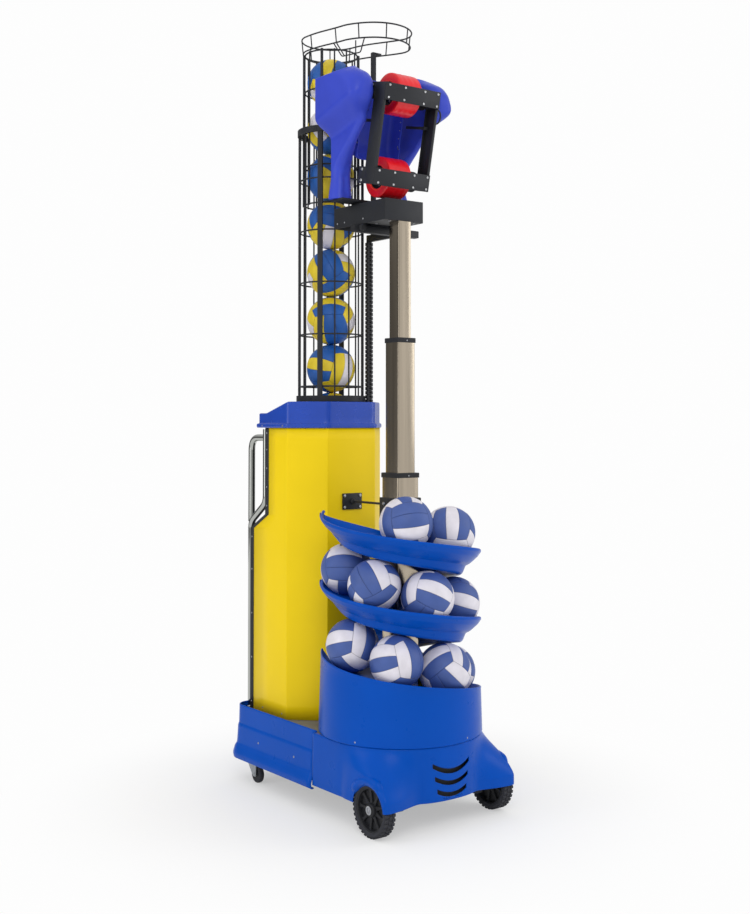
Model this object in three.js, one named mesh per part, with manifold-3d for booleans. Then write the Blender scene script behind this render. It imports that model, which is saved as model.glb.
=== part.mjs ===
// Volleyball training machine: a ball tower on wheels with spiral ball trays, a telescoping mast
// and a two-wheel launching head. Millimetres, +Z up, the front (launching side) faces -Y.
import * as THREE from 'three';
import { mergeVertices } from 'three/addons/utils/BufferGeometryUtils.js';
import Module from 'manifold-3d';

const wasm = await Module();
wasm.setup();

// Clearances
const fit = 0.3;
const overrun = 5;
const weld = 0.001;
const tiny = 0.000001;

// Balls
const ballDiameter = 208;
const ballPress = 8;
const ballPitch = ballDiameter - ballPress;
const columnPress = 1;
const columnPitch = ballDiameter - columnPress;
const topBallAngle = 232;
const middleBallAngle = 141;
const bucketBallAngle = 165;

// Telescoping square mast: widths
const mastY = -240;
const mastWall = 4;
const mastOuterWidth = 105;
const mastMiddleStep = 20;
const mastMiddleWidth = mastOuterWidth - mastMiddleStep;
const mastInnerStep = 22;
const mastInnerWidth = mastMiddleWidth - mastInnerStep;

// Spiral ball trays round the mast
const trackClearance = 34.754;
const ballTrackRadius = mastOuterWidth * Math.SQRT1_2 + ballDiameter / 2 + trackClearance;
const trayRimGap = 6;
const trayRadius = ballTrackRadius + ballDiameter / 2 + trayRimGap;
const trayWall = 6;
const bucketTopRadius = trayRadius - trayWall;
const bucketFlare = 9;
const bucketBottomRadius = bucketTopRadius + bucketFlare;
const trayStartAngle = 138;
const traySeamAngle = 15;
const traySpan = 360 - traySeamAngle;
const trayRimRoll = 22;
const trayFloorDepth = 50;
const trayUnderDepth = 98;
const ballHeadroom = 12;
const traySpacing = ballDiameter + trayUnderDepth - trayFloorDepth + ballHeadroom;
const trayFall = traySpacing + ballHeadroom;
const trayHubRadius = mastOuterWidth / 2 - fit;

// Width and length limits of the moulded base
const baseTopRadius = trayRadius;
const baseTaper = 5;
const baseBottomRadius = baseTopRadius + baseTaper;
const bodyMargin = 2;
const halfWidthLimit = baseBottomRadius + bodyMargin;
const frontLimit = halfWidthLimit + fit;

// Front wheels and axle
const frontWheelDiameter = 206;
const frontWheelRadius = frontWheelDiameter / 2;
const frontWheelWidth = 50;
const wheelInset = 12;
const frontWheelTrack = (halfWidthLimit - wheelInset) * 2 - frontWheelWidth;
const frontAxleY = mastY - frontLimit + frontWheelRadius + wheelInset + fit;
const frontTyreDepth = 16;
const frontRimWall = 6;
const frontHubDiameter = 52;
const frontSpokeThickness = 12;
const frontSpokeWidth = 20;
const frontAxleDiameter = 20;

// Rear casters
const casterWheelDiameter = 75;
const casterWheelWidth = 26;
const casterTrail = 30;
const casterPlateWidth = 66;
const casterPlateLength = 92;
const casterPlateThickness = 6;
const casterForkThickness = 4;
const casterRaceDiameter = 48;
const casterRaceHeight = 10;
const casterAxleDiameter = 10;
const casterHeadroom = 25;
const casterWheelShares = [[0.6, 1], [0.66, 0.8], [0.92, 0.8], [1, 0.4]];

// Base shell round under the bucket, with two wheel arches
const baseRise = 110;
const baseTop = frontWheelDiameter + baseRise;
const baseLift = 12;
const baseBottom = casterWheelDiameter + casterHeadroom + baseLift;
const shellWall = 4;
const ledgeWidth = 16;
const fenderReach = 175;
const fenderRise = 76;
const fenderTop = frontWheelDiameter + fenderRise;
const fenderFade = 132;
const fenderFull = fenderTop - fenderFade;
const fenderHalfAngle = 34;
const limitSharpness = 40;
const archLip = 9;
const archRadius = frontWheelRadius - archLip;
const archDepth = 76;
const ventLength = 92;
const ventHeight = 9;
const ventPitch = 31;
const ventDrop = 84;
const ventTopHeight = baseTop - ventDrop;
const ventSag = 16;

// Tower body of folded sheet: plan
const middleWireGap = 28;
const middleWireRadius = ballDiameter / 2 + middleWireGap;
const railSet = 4;
const middleRailRadius = middleWireRadius + railSet;
const cageOpeningGap = 10;
const cageOpening = middleRailRadius + cageOpeningGap;
const towerHalfWidth = 245;
const towerChamferWidth = 122;
const towerChamferDepth = 124;
const towerFrontHalf = towerHalfWidth - towerChamferWidth;
const towerGap = 9;
const towerFrontY = mastY + trayRadius + towerGap;
const towerChamferY = towerFrontY + towerChamferDepth;
const cageRim = 7;
const cageY = towerFrontY + cageRim + cageOpening;
const towerHighRearY = cageY + middleWireRadius - railSet;
const towerStepDepth = 119;
const towerLowRearY = towerHighRearY + towerStepDepth;
const sheet = 3;
const backPanDepth = 14;

// Chassis: a ladder of square tube with a deck on posts
const chassisBottom = casterWheelDiameter + casterHeadroom;
const chassisTube = 40;
const chassisFrontReach = 140;
const chassisFrontY = mastY - chassisFrontReach;
const chassisRearReach = 28;
const chassisRearY = towerLowRearY + chassisRearReach;
const wheelSideGap = 10;
const chassisHalfWidth = frontWheelTrack / 2 - frontWheelWidth / 2 - wheelSideGap;
const axleLegWidth = 60;
const casterOutset = 4;
const casterTrack = (chassisHalfWidth + casterOutset) * 2;
const casterY = chassisRearY - chassisTube * 2;

// Rear skirt, a moulded U round the back of the chassis, and the deck inside it
const seamReach = 152;
const skirtSeamY = mastY + seamReach;
const seamLap = 8;
const deckFrontY = skirtSeamY - seamLap;
const deckDrop = 16;
const deckTop = baseTop - deckDrop;
const deckThickness = 4;
const skirtRearReach = 76;
const skirtRearY = towerLowRearY + skirtRearReach;
const skirtCornerRadius = 60;
const skirtLift = 4;
const skirtBottom = chassisBottom - skirtLift;
const skirtRim = 22;
const skirtTop = deckTop + skirtRim;
const skirtBulgeOffset = halfWidthLimit - fit * 3;
const skirtBulgeHeight = skirtBottom + skirtRim;
const skirtStepInset = 18;
const skirtStepOffset = skirtBulgeOffset - skirtStepInset;
const skirtStepRise = 72;
const skirtStepHeight = skirtBottom + skirtStepRise;
const skirtCreaseOffset = skirtStepOffset - shellWall;
const skirtCreaseHeight = skirtStepHeight + skirtStepRise;
const skirtTopInset = 5;
const skirtTopOffset = skirtCreaseOffset - skirtTopInset;
const deckHalfWidth = skirtTopOffset - shellWall - fit;
const deckRearY = skirtRearY - skirtBulgeOffset + skirtTopOffset - shellWall - fit;

// Heights of the bucket, the trays and the ball port
const bucketLowRim = 45.667;
const bucketRim = baseTop + bucketLowRim + trayFall * traySpan / 360;
const middleTrayRim = bucketRim + traySpacing;
const topTrayRim = middleTrayRim + traySpacing;
const portMargin = 24;
const portWidth = ballDiameter + portMargin;
const portSill = 36;
const portBottom = baseTop + portSill;
const portTop = portBottom + portWidth - railSet;

// Heights of the mast's stages
const collarHeight = 16;
const collarWall = 3;
const sleeveWall = 8;
const sleeveWidth = mastOuterWidth + sleeveWall * 2;
const sleeveBottom = topTrayRim - trayFloorDepth + fit * 2;
const sleeveHeight = 119.4;
const sleeveTop = sleeveBottom + sleeveHeight;
const mastOuterReveal = 96;
const mastOuterTop = sleeveTop + mastOuterReveal;
const mastMiddleReveal = 540;
const mastMiddleTop = mastOuterTop + mastMiddleReveal;
const mastInnerReveal = 473;
const mastOverlap = 560;

// Heights of the tower
const towerTop = 1513;
const towerStepDrop = 370;
const towerStepHigh = towerTop - towerStepDrop;
const towerStepHeight = 65;
const towerStepLow = towerStepHigh - towerStepHeight;

// Chrome uprights with push handles
const handleTube = 30;
const handleInset = 16;
const handleX = towerHalfWidth - handleInset;
const uprightLowY = towerLowRearY + backPanDepth + handleTube / 2 + fit;
const uprightHighY = towerHighRearY + backPanDepth + handleTube / 2 + fit;
const bendLowRise = 26;
const uprightBendLow = towerStepLow + bendLowRise;
const bendHighRise = 47;
const uprightBendHigh = towerStepHigh + bendHighRise;
const uprightBendEase = 24;
const uprightDrop = 6;
const uprightTop = towerTop - uprightDrop;
const gripDrop = 43;
const gripTopHeight = towerTop - gripDrop;
const gripCornerRadius = 58;

// Top cap
const capOverhang = 7;
const capRearReach = 79;
const capRearY = towerHighRearY + capRearReach;
const capLipHeight = 19;
const capInset = 8;
const capRearHeight = 44;
const capFrontHeight = 92;
const capWall = 4;

// Ball cage
const guideRingInner = cageOpening - fit * 5;
const guideRingWall = 5;
const guideRingHeight = 26;
const railAngles = [35, 145, 215, 325];
const wireAngles = [0, 90, 180, 270];
const railDiameter = 13;
const railWidth = 22;
const wireDiameter = 5;
const cageSink = 63;
const middleCageBottom = towerTop - cageSink;
const middleCageHeight = 1350;
const middleCageTop = middleCageBottom + middleCageHeight;
const middleBandHeight = 26;
const middleBandWall = 7;
const cageRingPitch = 222;
const upperWireGap = 9;
const upperWireRadius = ballDiameter / 2 + upperWireGap;
const upperRailSet = 4.5;
const upperRailRadius = upperWireRadius + upperRailSet;
const cageOverlap = 330;
const upperCageBottom = middleCageTop - cageOverlap;

// Crossbeam
const beamHalfWidth = 97;
const beamFrontReach = 28;
const beamFrontY = mastY - beamFrontReach;
const beamCageGap = 160;
const beamRearY = cageY - beamCageGap;
const beamBottom = mastMiddleTop + mastInnerReveal;
const beamHeight = 86;
const beamTop = beamBottom + beamHeight;
const beamWall = 4;

// Yaw yoke
const yawReach = 190;
const yawY = mastY + yawReach;
const yawDiscRadius = 82;
const yawDiscHeight = 8;
const yokePlateThickness = 8;
const yokeTop = beamTop + fit + yawDiscHeight + yokePlateThickness;
const yokePlateHalfWidth = 42;
const footHalfLength = yokePlateHalfWidth;
const pivotReach = 175;
const pivotY = yawY - pivotReach;
const restPitch = 12;

// Launching head
const launchWheelDiameter = 166;
const launchWheelWidth = 114;
const launchWheelSpacing = 335;
const launchWheelRise = 14;
const launchWheelFall = launchWheelRise - launchWheelSpacing;
const launchHubDiameter = 96;
const launchShaftDiameter = 20;
const launchTyreLip = 8;
const hubFaceShare = 0.6;
const crossPlateLength = 280;
const crossPlateHeight = 68;
const crossPlateThickness = 5;
const crossPlateReach = 100;
const columnDepth = 68;
const columnFootDepth = 108.8;
const columnWidth = 13;
const motorDiameter = 84;
const motorLength = 50;
const chuteSideGap = 4;
const chuteHalfWidth = ballDiameter / 2 + chuteSideGap;
const chuteWall = 4;
const chuteRear = 168;
const chuteRise = 108.8;
const chuteLipReach = 93;
const chuteEarHeight = -100;
const chuteEarWidth = 36;
const pinDiameter = 44;
const pinSeat = 12;
const headClearance = 45.7;
const pivotHeight = yokeTop + headClearance + crossPlateHeight / 2 - launchWheelFall;

// Covers over the yoke's arms
const coverGap = 8;
const coverInner = crossPlateLength / 2 + coverGap;
const coverWidth = 114;
const coverOuter = coverInner + coverWidth;
const footInset = 38;
const footInner = coverInner - footInset;
const footWidth = 73;
const footOuter = footInner + footWidth;
const footMargin = 2;
const yokePlateHalfLength = footOuter - footMargin;
const coverDepth = 284;
const coverRise = 130;
const coverTop = pivotHeight + coverRise;
const coverRoundingShare = 0.42;
// Rows of height, inner side, outer side, back and front, each a share of the cover's own
const coverShares = [
  [0.0, 0.0, 0.0, 0.0, 0.2], [0.03, 0.0, 0.0, 0.0, 0.2], [0.25, 0.0, 0.0, 0.0, 0.2],
  [0.31, 0.25, 0.0, 0.0, 0.29], [0.38, 0.6, 0.02, 0.0, 0.42], [0.455, 1.0, 0.08, 0.0, 0.56],
  [0.5, 1.0, 0.28, 0.0, 0.65], [0.53, 1.0, 0.62, 0.0, 0.73], [0.57, 1.0, 0.88, 0.0, 0.78],
  [0.64, 1.0, 1.0, 0.0, 0.87], [0.69, 1.0, 1.0, 0.0, 0.95], [0.75, 1.0, 1.0, 0.0, 1.0],
  [0.84, 1.0, 1.0, 0.0, 1.0], [0.9, 1.0, 0.97, 0.0, 0.88], [0.955, 1.0, 0.72, 0.03, 0.66],
  [1.0, 1.15, 0.35, 0.12, 0.48],
];

// Hoop basket that hands the ball over to the head
const hoopRise = 352;
const hoopTop = pivotHeight + hoopRise;
const hoopDepth = 62;
const hoopWire = 6;
const hoopStrutRadius = 2.4;
const hoopRearGap = 15;
const hoopRearRadius = upperWireRadius + hoopRearGap;
const hoopWiden = 28;
const hoopFrontRadius = hoopRearRadius + hoopWiden;
const hoopFrontReach = 16;
const hoopFrontY = yawY - hoopFrontReach;
const hoopInset = 6;
const upperCageTop = hoopTop - hoopDepth - hoopWire / 2 - fit;
const guardDrop = 54;
const guardHalfLength = 92;

// Cage bracket under the crossbeam
const bracketBar = 30;
const bracketLeft = -120;
const bracketRight = 214;
const bracketReach = 145;
const bracketY = mastY + bracketReach;
const bracketPostWidth = 18;
const bracketPostGap = 12;
const bracketPostX = beamHalfWidth + bracketPostGap + bracketPostWidth / 2;
const postChainGap = 13;
const chainWidth = 30;
const chainDepth = 18;

// Clamp knob on the bracket
const knobX = -96;
const knobDiameter = 28;
const knobLength = 20;
const knobNeck = 9;
const knobNeckDiameter = 10;

// Cables held at both ends
const headCableDiameter = 7;
const headCableX = crossPlateLength / 2 + fit;
const headCableBow = 20;
const headCableY = 86;
const headCableTop = -22;
const headCableDrop = 56;
const headCableSteps = 10;
const cableLead = 3;

// Drag chain
const chainX = bracketPostX;
const chainGap = 0.467;
const chainClear = guideRingInner + guideRingWall + chainGap;
const chainSide = chainX - chainWidth / 2;
const chainReach = Math.sqrt(chainClear * chainClear - chainSide * chainSide) + chainDepth / 2;
const chainY = cageY - chainReach;
const bracketPostReach = chainReach + chainDepth / 2 + bracketPostWidth / 2 + postChainGap;
const bracketPostY = cageY - bracketPostReach;
const chainPitch = 21;
const chainHole = 9;
const chainTail = 123;
const chainTop = beamBottom - fit - bracketBar - fit;
const chainLinks = Math.round((chainTop - towerTop + chainTail) / chainPitch);
const chainWaistShare = 0.72;
const chainHoleShare = 0.36;
const chainTaperShares = [0.8, 0.9];

// Brace from the tower's face to the mast's sleeve
const bracePlateWidth = 100;
const braceDrop = 32;
const braceHeight = sleeveTop - braceDrop;
const bracePlateHeight = 68;
const bracePlateThickness = 6;
const braceRodDiameter = 10;

// Lifter and control box inside the tower
const lifterRise = 434;
const columnBottomBall = deckTop + lifterRise;
const columnBalls = Math.floor((hoopTop - columnBottomBall) / columnPitch) + 1;
const lifterRailWidth = 30;
const lifterRailInset = 49;
const lifterRailX = towerHalfWidth - lifterRailInset;
const lifterRailTail = 26;
const lifterRailTop = columnBottomBall + lifterRailTail;
const lifterCupRadius = 62;
const lifterCupHeight = 14;
const lifterBlockHeight = 44;
const lifterArmWidth = 44;
const lifterMotorSize = 86;
const lifterMotorHeight = 120;
const controlBoxWidth = 190;
const controlBoxDepth = 84;
const controlBoxHeight = 230;

const group = new THREE.Group();

// Finishes
function finish(color, roughness, metalness) {
  return new THREE.MeshStandardMaterial({ color, roughness, metalness });
}
const mouldedBlue = finish(0x0048b2, 0.35, 0);
const headBlue = finish(0x4454c6, 0.35, 0);
const capBlue = finish(0x1c3e96, 0.3, 0);
const yellowPaint = finish(0xf0d020, 0.45, 0);
const blackPaint = finish(0x1c1e20, 0.5, 0.1);
const stainless = finish(0xb8b4ac, 0.25, 1);
const chrome = finish(0xd8d8d8, 0.12, 1);
const zinc = finish(0xa8aaac, 0.35, 1);
const blackRubber = finish(0x1e1f22, 0.8, 0);
const redUrethane = finish(0xe00014, 0.4, 0);
const greySteel = finish(0x8a8c8e, 0.4, 0.9);
const ballWhite = finish(0xe4dee8, 0.55, 0);

// A three.js geometry as a solid
function solid(geometry) {
  const bare = geometry.clone();
  bare.deleteAttribute('normal');
  bare.deleteAttribute('uv');
  const merged = mergeVertices(bare, weld);
  return new wasm.Manifold(new wasm.Mesh({
    numProp: 3,
    vertProperties: merged.attributes.position.array,
    triVerts: new Uint32Array(merged.index.array),
  }));
}

// A solid as a three.js geometry
function geometryOf(body) {
  const mesh = body.getMesh();
  const positions = new Float32Array(mesh.numVert * 3);
  for (let i = 0; i < mesh.numVert; i++) {
    positions.set(mesh.vertProperties.subarray(i * mesh.numProp, i * mesh.numProp + 3), i * 3);
  }
  const geometry = new THREE.BufferGeometry();
  geometry.setAttribute('position', new THREE.BufferAttribute(positions, 3));
  geometry.setIndex(new THREE.BufferAttribute(new Uint32Array(mesh.triVerts), 1));
  const flat = geometry.toNonIndexed();
  flat.computeVertexNormals();
  return flat;
}

function join(...bodies) {
  return bodies.reduce((whole, next) => whole.add(next));
}

function cut(body, ...tools) {
  return tools.reduce((left, tool) => left.subtract(tool), body);
}

function addPart(name, body, material) {
  const mesh = new THREE.Mesh(geometryOf(body), material);
  mesh.name = name;
  group.add(mesh);
  return mesh;
}

// A box between two corners
function block(x0, x1, y0, y1, z0, z1) {
  const geometry = new THREE.BoxGeometry(x1 - x0, y1 - y0, z1 - z0);
  geometry.translate((x0 + x1) / 2, (y0 + y1) / 2, (z0 + z1) / 2);
  return solid(geometry);
}

// A round bar from one point to another
function rod(from, to, radius, sides) {
  const axis = new THREE.Vector3().subVectors(to, from);
  const geometry = new THREE.CylinderGeometry(radius, radius, axis.length(), sides);
  const along = axis.clone().normalize();
  const turn = new THREE.Quaternion().setFromUnitVectors(new THREE.Vector3(0, 1, 0), along);
  geometry.applyQuaternion(turn);
  geometry.translate((from.x + to.x) / 2, (from.y + to.y) / 2, (from.z + to.z) / 2);
  return solid(geometry);
}

function point(x, y, z) {
  return new THREE.Vector3(x, y, z);
}

function polygon(points) {
  return new THREE.Shape(points.map(([x, y]) => new THREE.Vector2(x, y)));
}

// A plan outline raised from one height to another
function prism(points, z0, z1) {
  const geometry = new THREE.ExtrudeGeometry(polygon(points), { depth: z1 - z0, bevelEnabled: false });
  geometry.translate(0, 0, z0);
  return solid(geometry);
}

// A side outline, given as [y, z] points, carried across the width
function sidePrism(points, x0, x1) {
  const geometry = new THREE.ExtrudeGeometry(polygon(points), { depth: x1 - x0, bevelEnabled: false });
  geometry.rotateY(Math.PI / 2);
  geometry.rotateX(Math.PI / 2);
  geometry.translate(x0, 0, 0);
  return solid(geometry);
}

// A front outline, given as [x, z] points, carried along the depth
function frontPrism(points, y0, y1) {
  const geometry = new THREE.ExtrudeGeometry(polygon(points), { depth: y1 - y0, bevelEnabled: false });
  geometry.rotateX(Math.PI / 2);
  geometry.translate(0, y1, 0);
  return solid(geometry);
}

// A skin over rows of points. Each row is a closed loop of the same count, and flatten lays a
// row out as a flat outline for its end cap. Without it the last row meets the first.
function skin(rows, flatten) {
  const count = rows[0].length;
  const positions = [];
  const put = (p) => positions.push(p.x, p.y, p.z);
  const last = flatten ? rows.length - 1 : rows.length;
  for (let i = 0; i < last; i++) {
    const here = rows[i];
    const next = rows[(i + 1) % rows.length];
    for (let j = 0; j < count; j++) {
      const k = (j + 1) % count;
      [here[j], next[j], next[k], here[j], next[k], here[k]].forEach(put);
    }
  }
  if (flatten) {
    capFaces(flatten(rows[0])).forEach(([a, b, c]) => [a, b, c].forEach((n) => put(rows[0][n])));
    const end = rows[rows.length - 1];
    capFaces(flatten(end)).forEach(([a, b, c]) => [a, c, b].forEach((n) => put(end[n])));
  }
  const geometry = new THREE.BufferGeometry();
  geometry.setAttribute('position', new THREE.Float32BufferAttribute(positions, 3));
  return outward(geometry);
}

// Triangles of an outline, wound the way the outline runs
function capFaces(outline) {
  const faces = THREE.ShapeUtils.triangulateShape(outline, []);
  const [a, b, c] = faces[0].map((n) => outline[n]);
  const turn = (b.x - a.x) * (c.y - a.y) - (b.y - a.y) * (c.x - a.x);
  const same = turn * THREE.ShapeUtils.area(outline) > 0;
  return same ? faces : faces.map(([i, j, k]) => [i, k, j]);
}

// A closed geometry as a solid, turned right side out if need be
function outward(geometry) {
  const body = solid(geometry);
  return body.volume() > 0 ? body : solid(flipped(geometry.index ? geometry.toNonIndexed() : geometry));
}

// The same surface with its faces turned round
function flipped(geometry) {
  const positions = geometry.attributes.position;
  const turned = [];
  for (let i = 0; i < positions.count; i += 3) {
    for (const j of [i, i + 2, i + 1]) turned.push(positions.getX(j), positions.getY(j), positions.getZ(j));
  }
  const geometryTurned = new THREE.BufferGeometry();
  geometryTurned.setAttribute('position', new THREE.Float32BufferAttribute(turned, 3));
  return geometryTurned;
}

// A ring of one section round a vertical axis
function ring(profile, sides, y, z) {
  const points = profile.map(([r, h]) => new THREE.Vector2(r, h));
  points.push(points[0].clone());
  const geometry = new THREE.LatheGeometry(points, sides);
  geometry.rotateX(Math.PI / 2);
  geometry.translate(0, y, z);
  return outward(geometry);
}

function smooth(share) {
  const t = Math.min(1, Math.max(0, share));
  return t * t * (3 - 2 * t);
}

// An outline of number pairs as three.js points
function flat(pairs) {
  return pairs.map(([x, y]) => new THREE.Vector2(x, y));
}

// Square tube ladder with posts under the deck, tabs for the axle and plates for the casters
function chassisFrame() {
  const z0 = chassisBottom;
  const z1 = z0 + chassisTube;
  const postTop = deckTop - deckThickness - fit;
  const members = [];
  for (const side of [-1, 1]) {
    const outer = side * chassisHalfWidth;
    const inner = side * (chassisHalfWidth - chassisTube);
    const x0 = Math.min(outer, inner);
    const x1 = Math.max(outer, inner);
    members.push(block(x0, x1, chassisFrontY, chassisRearY, z0, z1));
    for (const y of [deckFrontY, (deckFrontY + chassisRearY) / 2, chassisRearY - chassisTube * 2]) {
      members.push(block(x0, x1, y, y + chassisTube, z0, postTop));
    }
    const legX = side * (chassisHalfWidth - chassisTube * 2);
    members.push(block(
      Math.min(legX, legX + side * chassisTube), Math.max(legX, legX + side * chassisTube),
      frontAxleY - axleLegWidth / 2, chassisFrontY + chassisTube, frontWheelRadius - chassisTube / 2, z1));
  }
  for (const y of [chassisFrontY, mastY - chassisTube / 2, deckFrontY, chassisRearY - chassisTube]) {
    members.push(block(-chassisHalfWidth, chassisHalfWidth, y, y + chassisTube, z0, z1));
  }
  const bore = frontAxleDiameter / 2 + fit;
  const axle = rod(
    point(-chassisHalfWidth, frontAxleY, frontWheelRadius),
    point(chassisHalfWidth, frontAxleY, frontWheelRadius), bore, 16);
  const mastSeat = mastOuterWidth / 2 + fit;
  const socket = block(-mastSeat, mastSeat, mastY - mastSeat, mastY + mastSeat, z0 + mastWall, z1 + overrun);
  return cut(join(...members), axle, socket);
}

const cornerSteps = 5;

// Sheet deck under the tower, rounded to lie inside the skirt
function deckPlate() {
  const radius = skirtCornerRadius;
  const corners = [[-deckHalfWidth, deckFrontY], [deckHalfWidth, deckFrontY]];
  for (const side of [1, -1]) {
    for (let i = 0; i <= cornerSteps; i++) {
      const turn = Math.PI / 2 * (side > 0 ? i : cornerSteps - i) / cornerSteps;
      const x = deckHalfWidth - radius + Math.cos(turn) * radius;
      corners.push([side * x, deckRearY - radius + Math.sin(turn) * radius]);
    }
  }
  return prism(corners, deckTop - deckThickness, deckTop);
}

// The skirt's section as [outward offset, height] points, walked up outside and down inside
function skirtSection() {
  const outer = [
    [skirtBulgeOffset - shellWall, skirtBottom],
    [skirtBulgeOffset, skirtBulgeHeight],
    [skirtStepOffset + shellWall, skirtStepHeight - shellWall * 2],
    [skirtStepOffset, skirtStepHeight],
    [skirtCreaseOffset, skirtCreaseHeight - shellWall],
    [skirtCreaseOffset - shellWall, skirtCreaseHeight],
    [skirtTopOffset, skirtTop],
  ];
  const inner = outer.map(([o, z]) => [o - shellWall, z]).reverse();
  return outer.concat(inner);
}

function rearSkirt() {
  const section = skirtSection();
  const reach = skirtTopOffset - skirtCornerRadius;
  const cornerY = skirtRearY - (skirtBulgeOffset - skirtTopOffset) - skirtCornerRadius;
  const stations = [{ x: -reach, y: skirtSeamY + fit, turn: Math.PI }];
  for (let i = 0; i <= cornerSteps; i++) {
    stations.push({ x: -reach, y: cornerY, turn: Math.PI - (i / cornerSteps) * Math.PI / 2 });
  }
  for (let i = 0; i <= cornerSteps; i++) {
    stations.push({ x: reach, y: cornerY, turn: Math.PI / 2 - (i / cornerSteps) * Math.PI / 2 });
  }
  stations.push({ x: reach, y: skirtSeamY + fit, turn: 0 });
  const rows = stations.map(({ x, y, turn }) => section.map(([o, z]) => {
    const out = skirtCornerRadius + o - skirtTopOffset;
    return point(x + Math.cos(turn) * out, y + Math.sin(turn) * out, z);
  }));
  return skin(rows, () => flat(section));
}

// Outside radius of the base at an angle and height: a cone with a bulge over each wheel,
// held inside the machine's width and front line
function baseRadius(angle, z) {
  const up = (z - baseBottom) / (baseTop - baseBottom);
  const cone = baseBottomRadius + (baseTopRadius - baseBottomRadius) * up;
  const wheelAngle = Math.atan2(mastY - frontAxleY, frontWheelTrack / 2);
  const fromLeft = Math.abs(angle - (Math.PI + wheelAngle));
  const fromRight = Math.abs(angle - (2 * Math.PI - wheelAngle));
  const halfAngle = THREE.MathUtils.degToRad(fenderHalfAngle);
  const around = smooth(1 - Math.min(fromLeft, fromRight) / halfAngle);
  const down = smooth((fenderTop - z) / (fenderTop - fenderFull));
  const free = cone + fenderReach * around * down;
  const side = halfWidthLimit / Math.max(Math.abs(Math.cos(angle)), tiny);
  const front = frontLimit / Math.max(-Math.sin(angle), tiny);
  const power = limitSharpness;
  return (free ** -power + side ** -power + front ** -power) ** (-1 / power);
}

function baseSection() {
  const heights = [];
  const steps = 5;
  const rise = baseTop - baseBottom - shellWall;
  for (let i = 0; i <= steps; i++) heights.push(baseBottom + rise * (i / steps));
  const outer = heights.map((z) => [0, z]);
  outer.push([-shellWall / 2, baseTop], [-ledgeWidth, baseTop], [-ledgeWidth, baseTop - shellWall]);
  const inner = heights.map((z) => [-shellWall, z]).reverse();
  inner.shift();
  return outer.concat([[-shellWall, baseTop - shellWall]], inner);
}

function frontBaseShell() {
  const section = baseSection();
  const rows = [];
  const arcSteps = 40;
  const put = (angle, y) => rows.push(section.map(([o, z]) => {
    const r = baseRadius(angle, z) + o;
    if (y !== null) return point(Math.cos(angle) * r, y, z);
    return point(Math.cos(angle) * r, mastY + Math.sin(angle) * r, z);
  }));
  put(Math.PI, skirtSeamY - fit);
  for (let i = 0; i <= arcSteps; i++) put(Math.PI * (1 + i / arcSteps), null);
  put(2 * Math.PI, skirtSeamY - fit);
  const body = skin(rows, () => flat(section));
  return cut(body, ...wheelArches(), ...smileVents());
}

function wheelArches() {
  return [-1, 1].map((side) => {
    const outer = side * (halfWidthLimit + overrun);
    const inner = side * (halfWidthLimit - archDepth);
    const z = frontWheelRadius;
    return rod(point(outer, frontAxleY, z), point(inner, frontAxleY, z), archRadius, 32);
  });
}

// Three curved slots one below the other at the front
function smileVents() {
  const slots = [];
  for (let i = 0; i < 3; i++) {
    const top = ventTopHeight - i * ventPitch;
    const half = (ventLength - i * ventHeight) / 2;
    const upper = [];
    const lower = [];
    const steps = 6;
    for (let j = 0; j <= steps; j++) {
      const share = (j / steps) * 2 - 1;
      const x = share * half;
      const sag = ventSag * (1 - share * share);
      upper.push([x, top - sag]);
      lower.push([x, top - sag - ventHeight * (1 - share * share / 2)]);
    }
    const outline = upper.concat(lower.reverse());
    slots.push(frontPrism(outline, mastY - halfWidthLimit - overrun, mastY - baseTopRadius / 2));
  }
  return slots;
}

// Height of a tray's rim at an angle, for a tray whose rim starts at the given height
function rimHeight(startHeight, degrees) {
  return startHeight - trayFall * (degrees - trayStartAngle) / 360;
}

function trayFloorSection() {
  const r = trayRadius;
  return {
    top: [
      [r, 0], [r - trayWall, fit], [r - trayWall * 2, -trayWall],
      [r - trayFloorDepth, -trayFloorDepth + trayWall * 2],
      [r - trayFloorDepth * 2, -trayFloorDepth + trayWall / 2],
      [trayHubRadius, -trayFloorDepth],
    ],
    under: [
      [trayHubRadius, -trayUnderDepth + trayWall * 2], [r - trayUnderDepth, -trayUnderDepth],
      [r - trayUnderDepth + trayRimRoll, -trayUnderDepth + trayWall * 2],
      [r - trayFloorDepth, -trayUnderDepth + trayRimRoll * 2],
      [r - trayWall * 3, -trayRimRoll - trayWall * 2], [r - trayWall * 2, -trayRimRoll - trayWall],
      [r - trayWall / 2, -trayRimRoll],
    ],
  };
}

function spiral(section, startHeight) {
  const rows = [];
  const steps = 30;
  for (let i = 0; i <= steps; i++) {
    const degrees = trayStartAngle + traySpan * (i / steps);
    const turn = THREE.MathUtils.degToRad(degrees);
    const rim = rimHeight(startHeight, degrees);
    rows.push(section.map(([r, dz]) => point(Math.cos(turn) * r, mastY + Math.sin(turn) * r, rim + dz)));
  }
  return skin(rows, () => flat(section));
}

function mastHole(z0, z1) {
  const half = mastOuterWidth / 2 + fit;
  return block(-half, half, mastY - half, mastY + half, z0, z1);
}

// One turn of dished spiral track round the mast, hollow underneath a stepped outer wall
function ballTray(startHeight) {
  const { top, under } = trayFloorSection();
  const body = spiral(top.concat(under), startHeight);
  return cut(body, mastHole(startHeight - trayFall - trayUnderDepth * 2, startHeight + trayUnderDepth));
}

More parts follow.
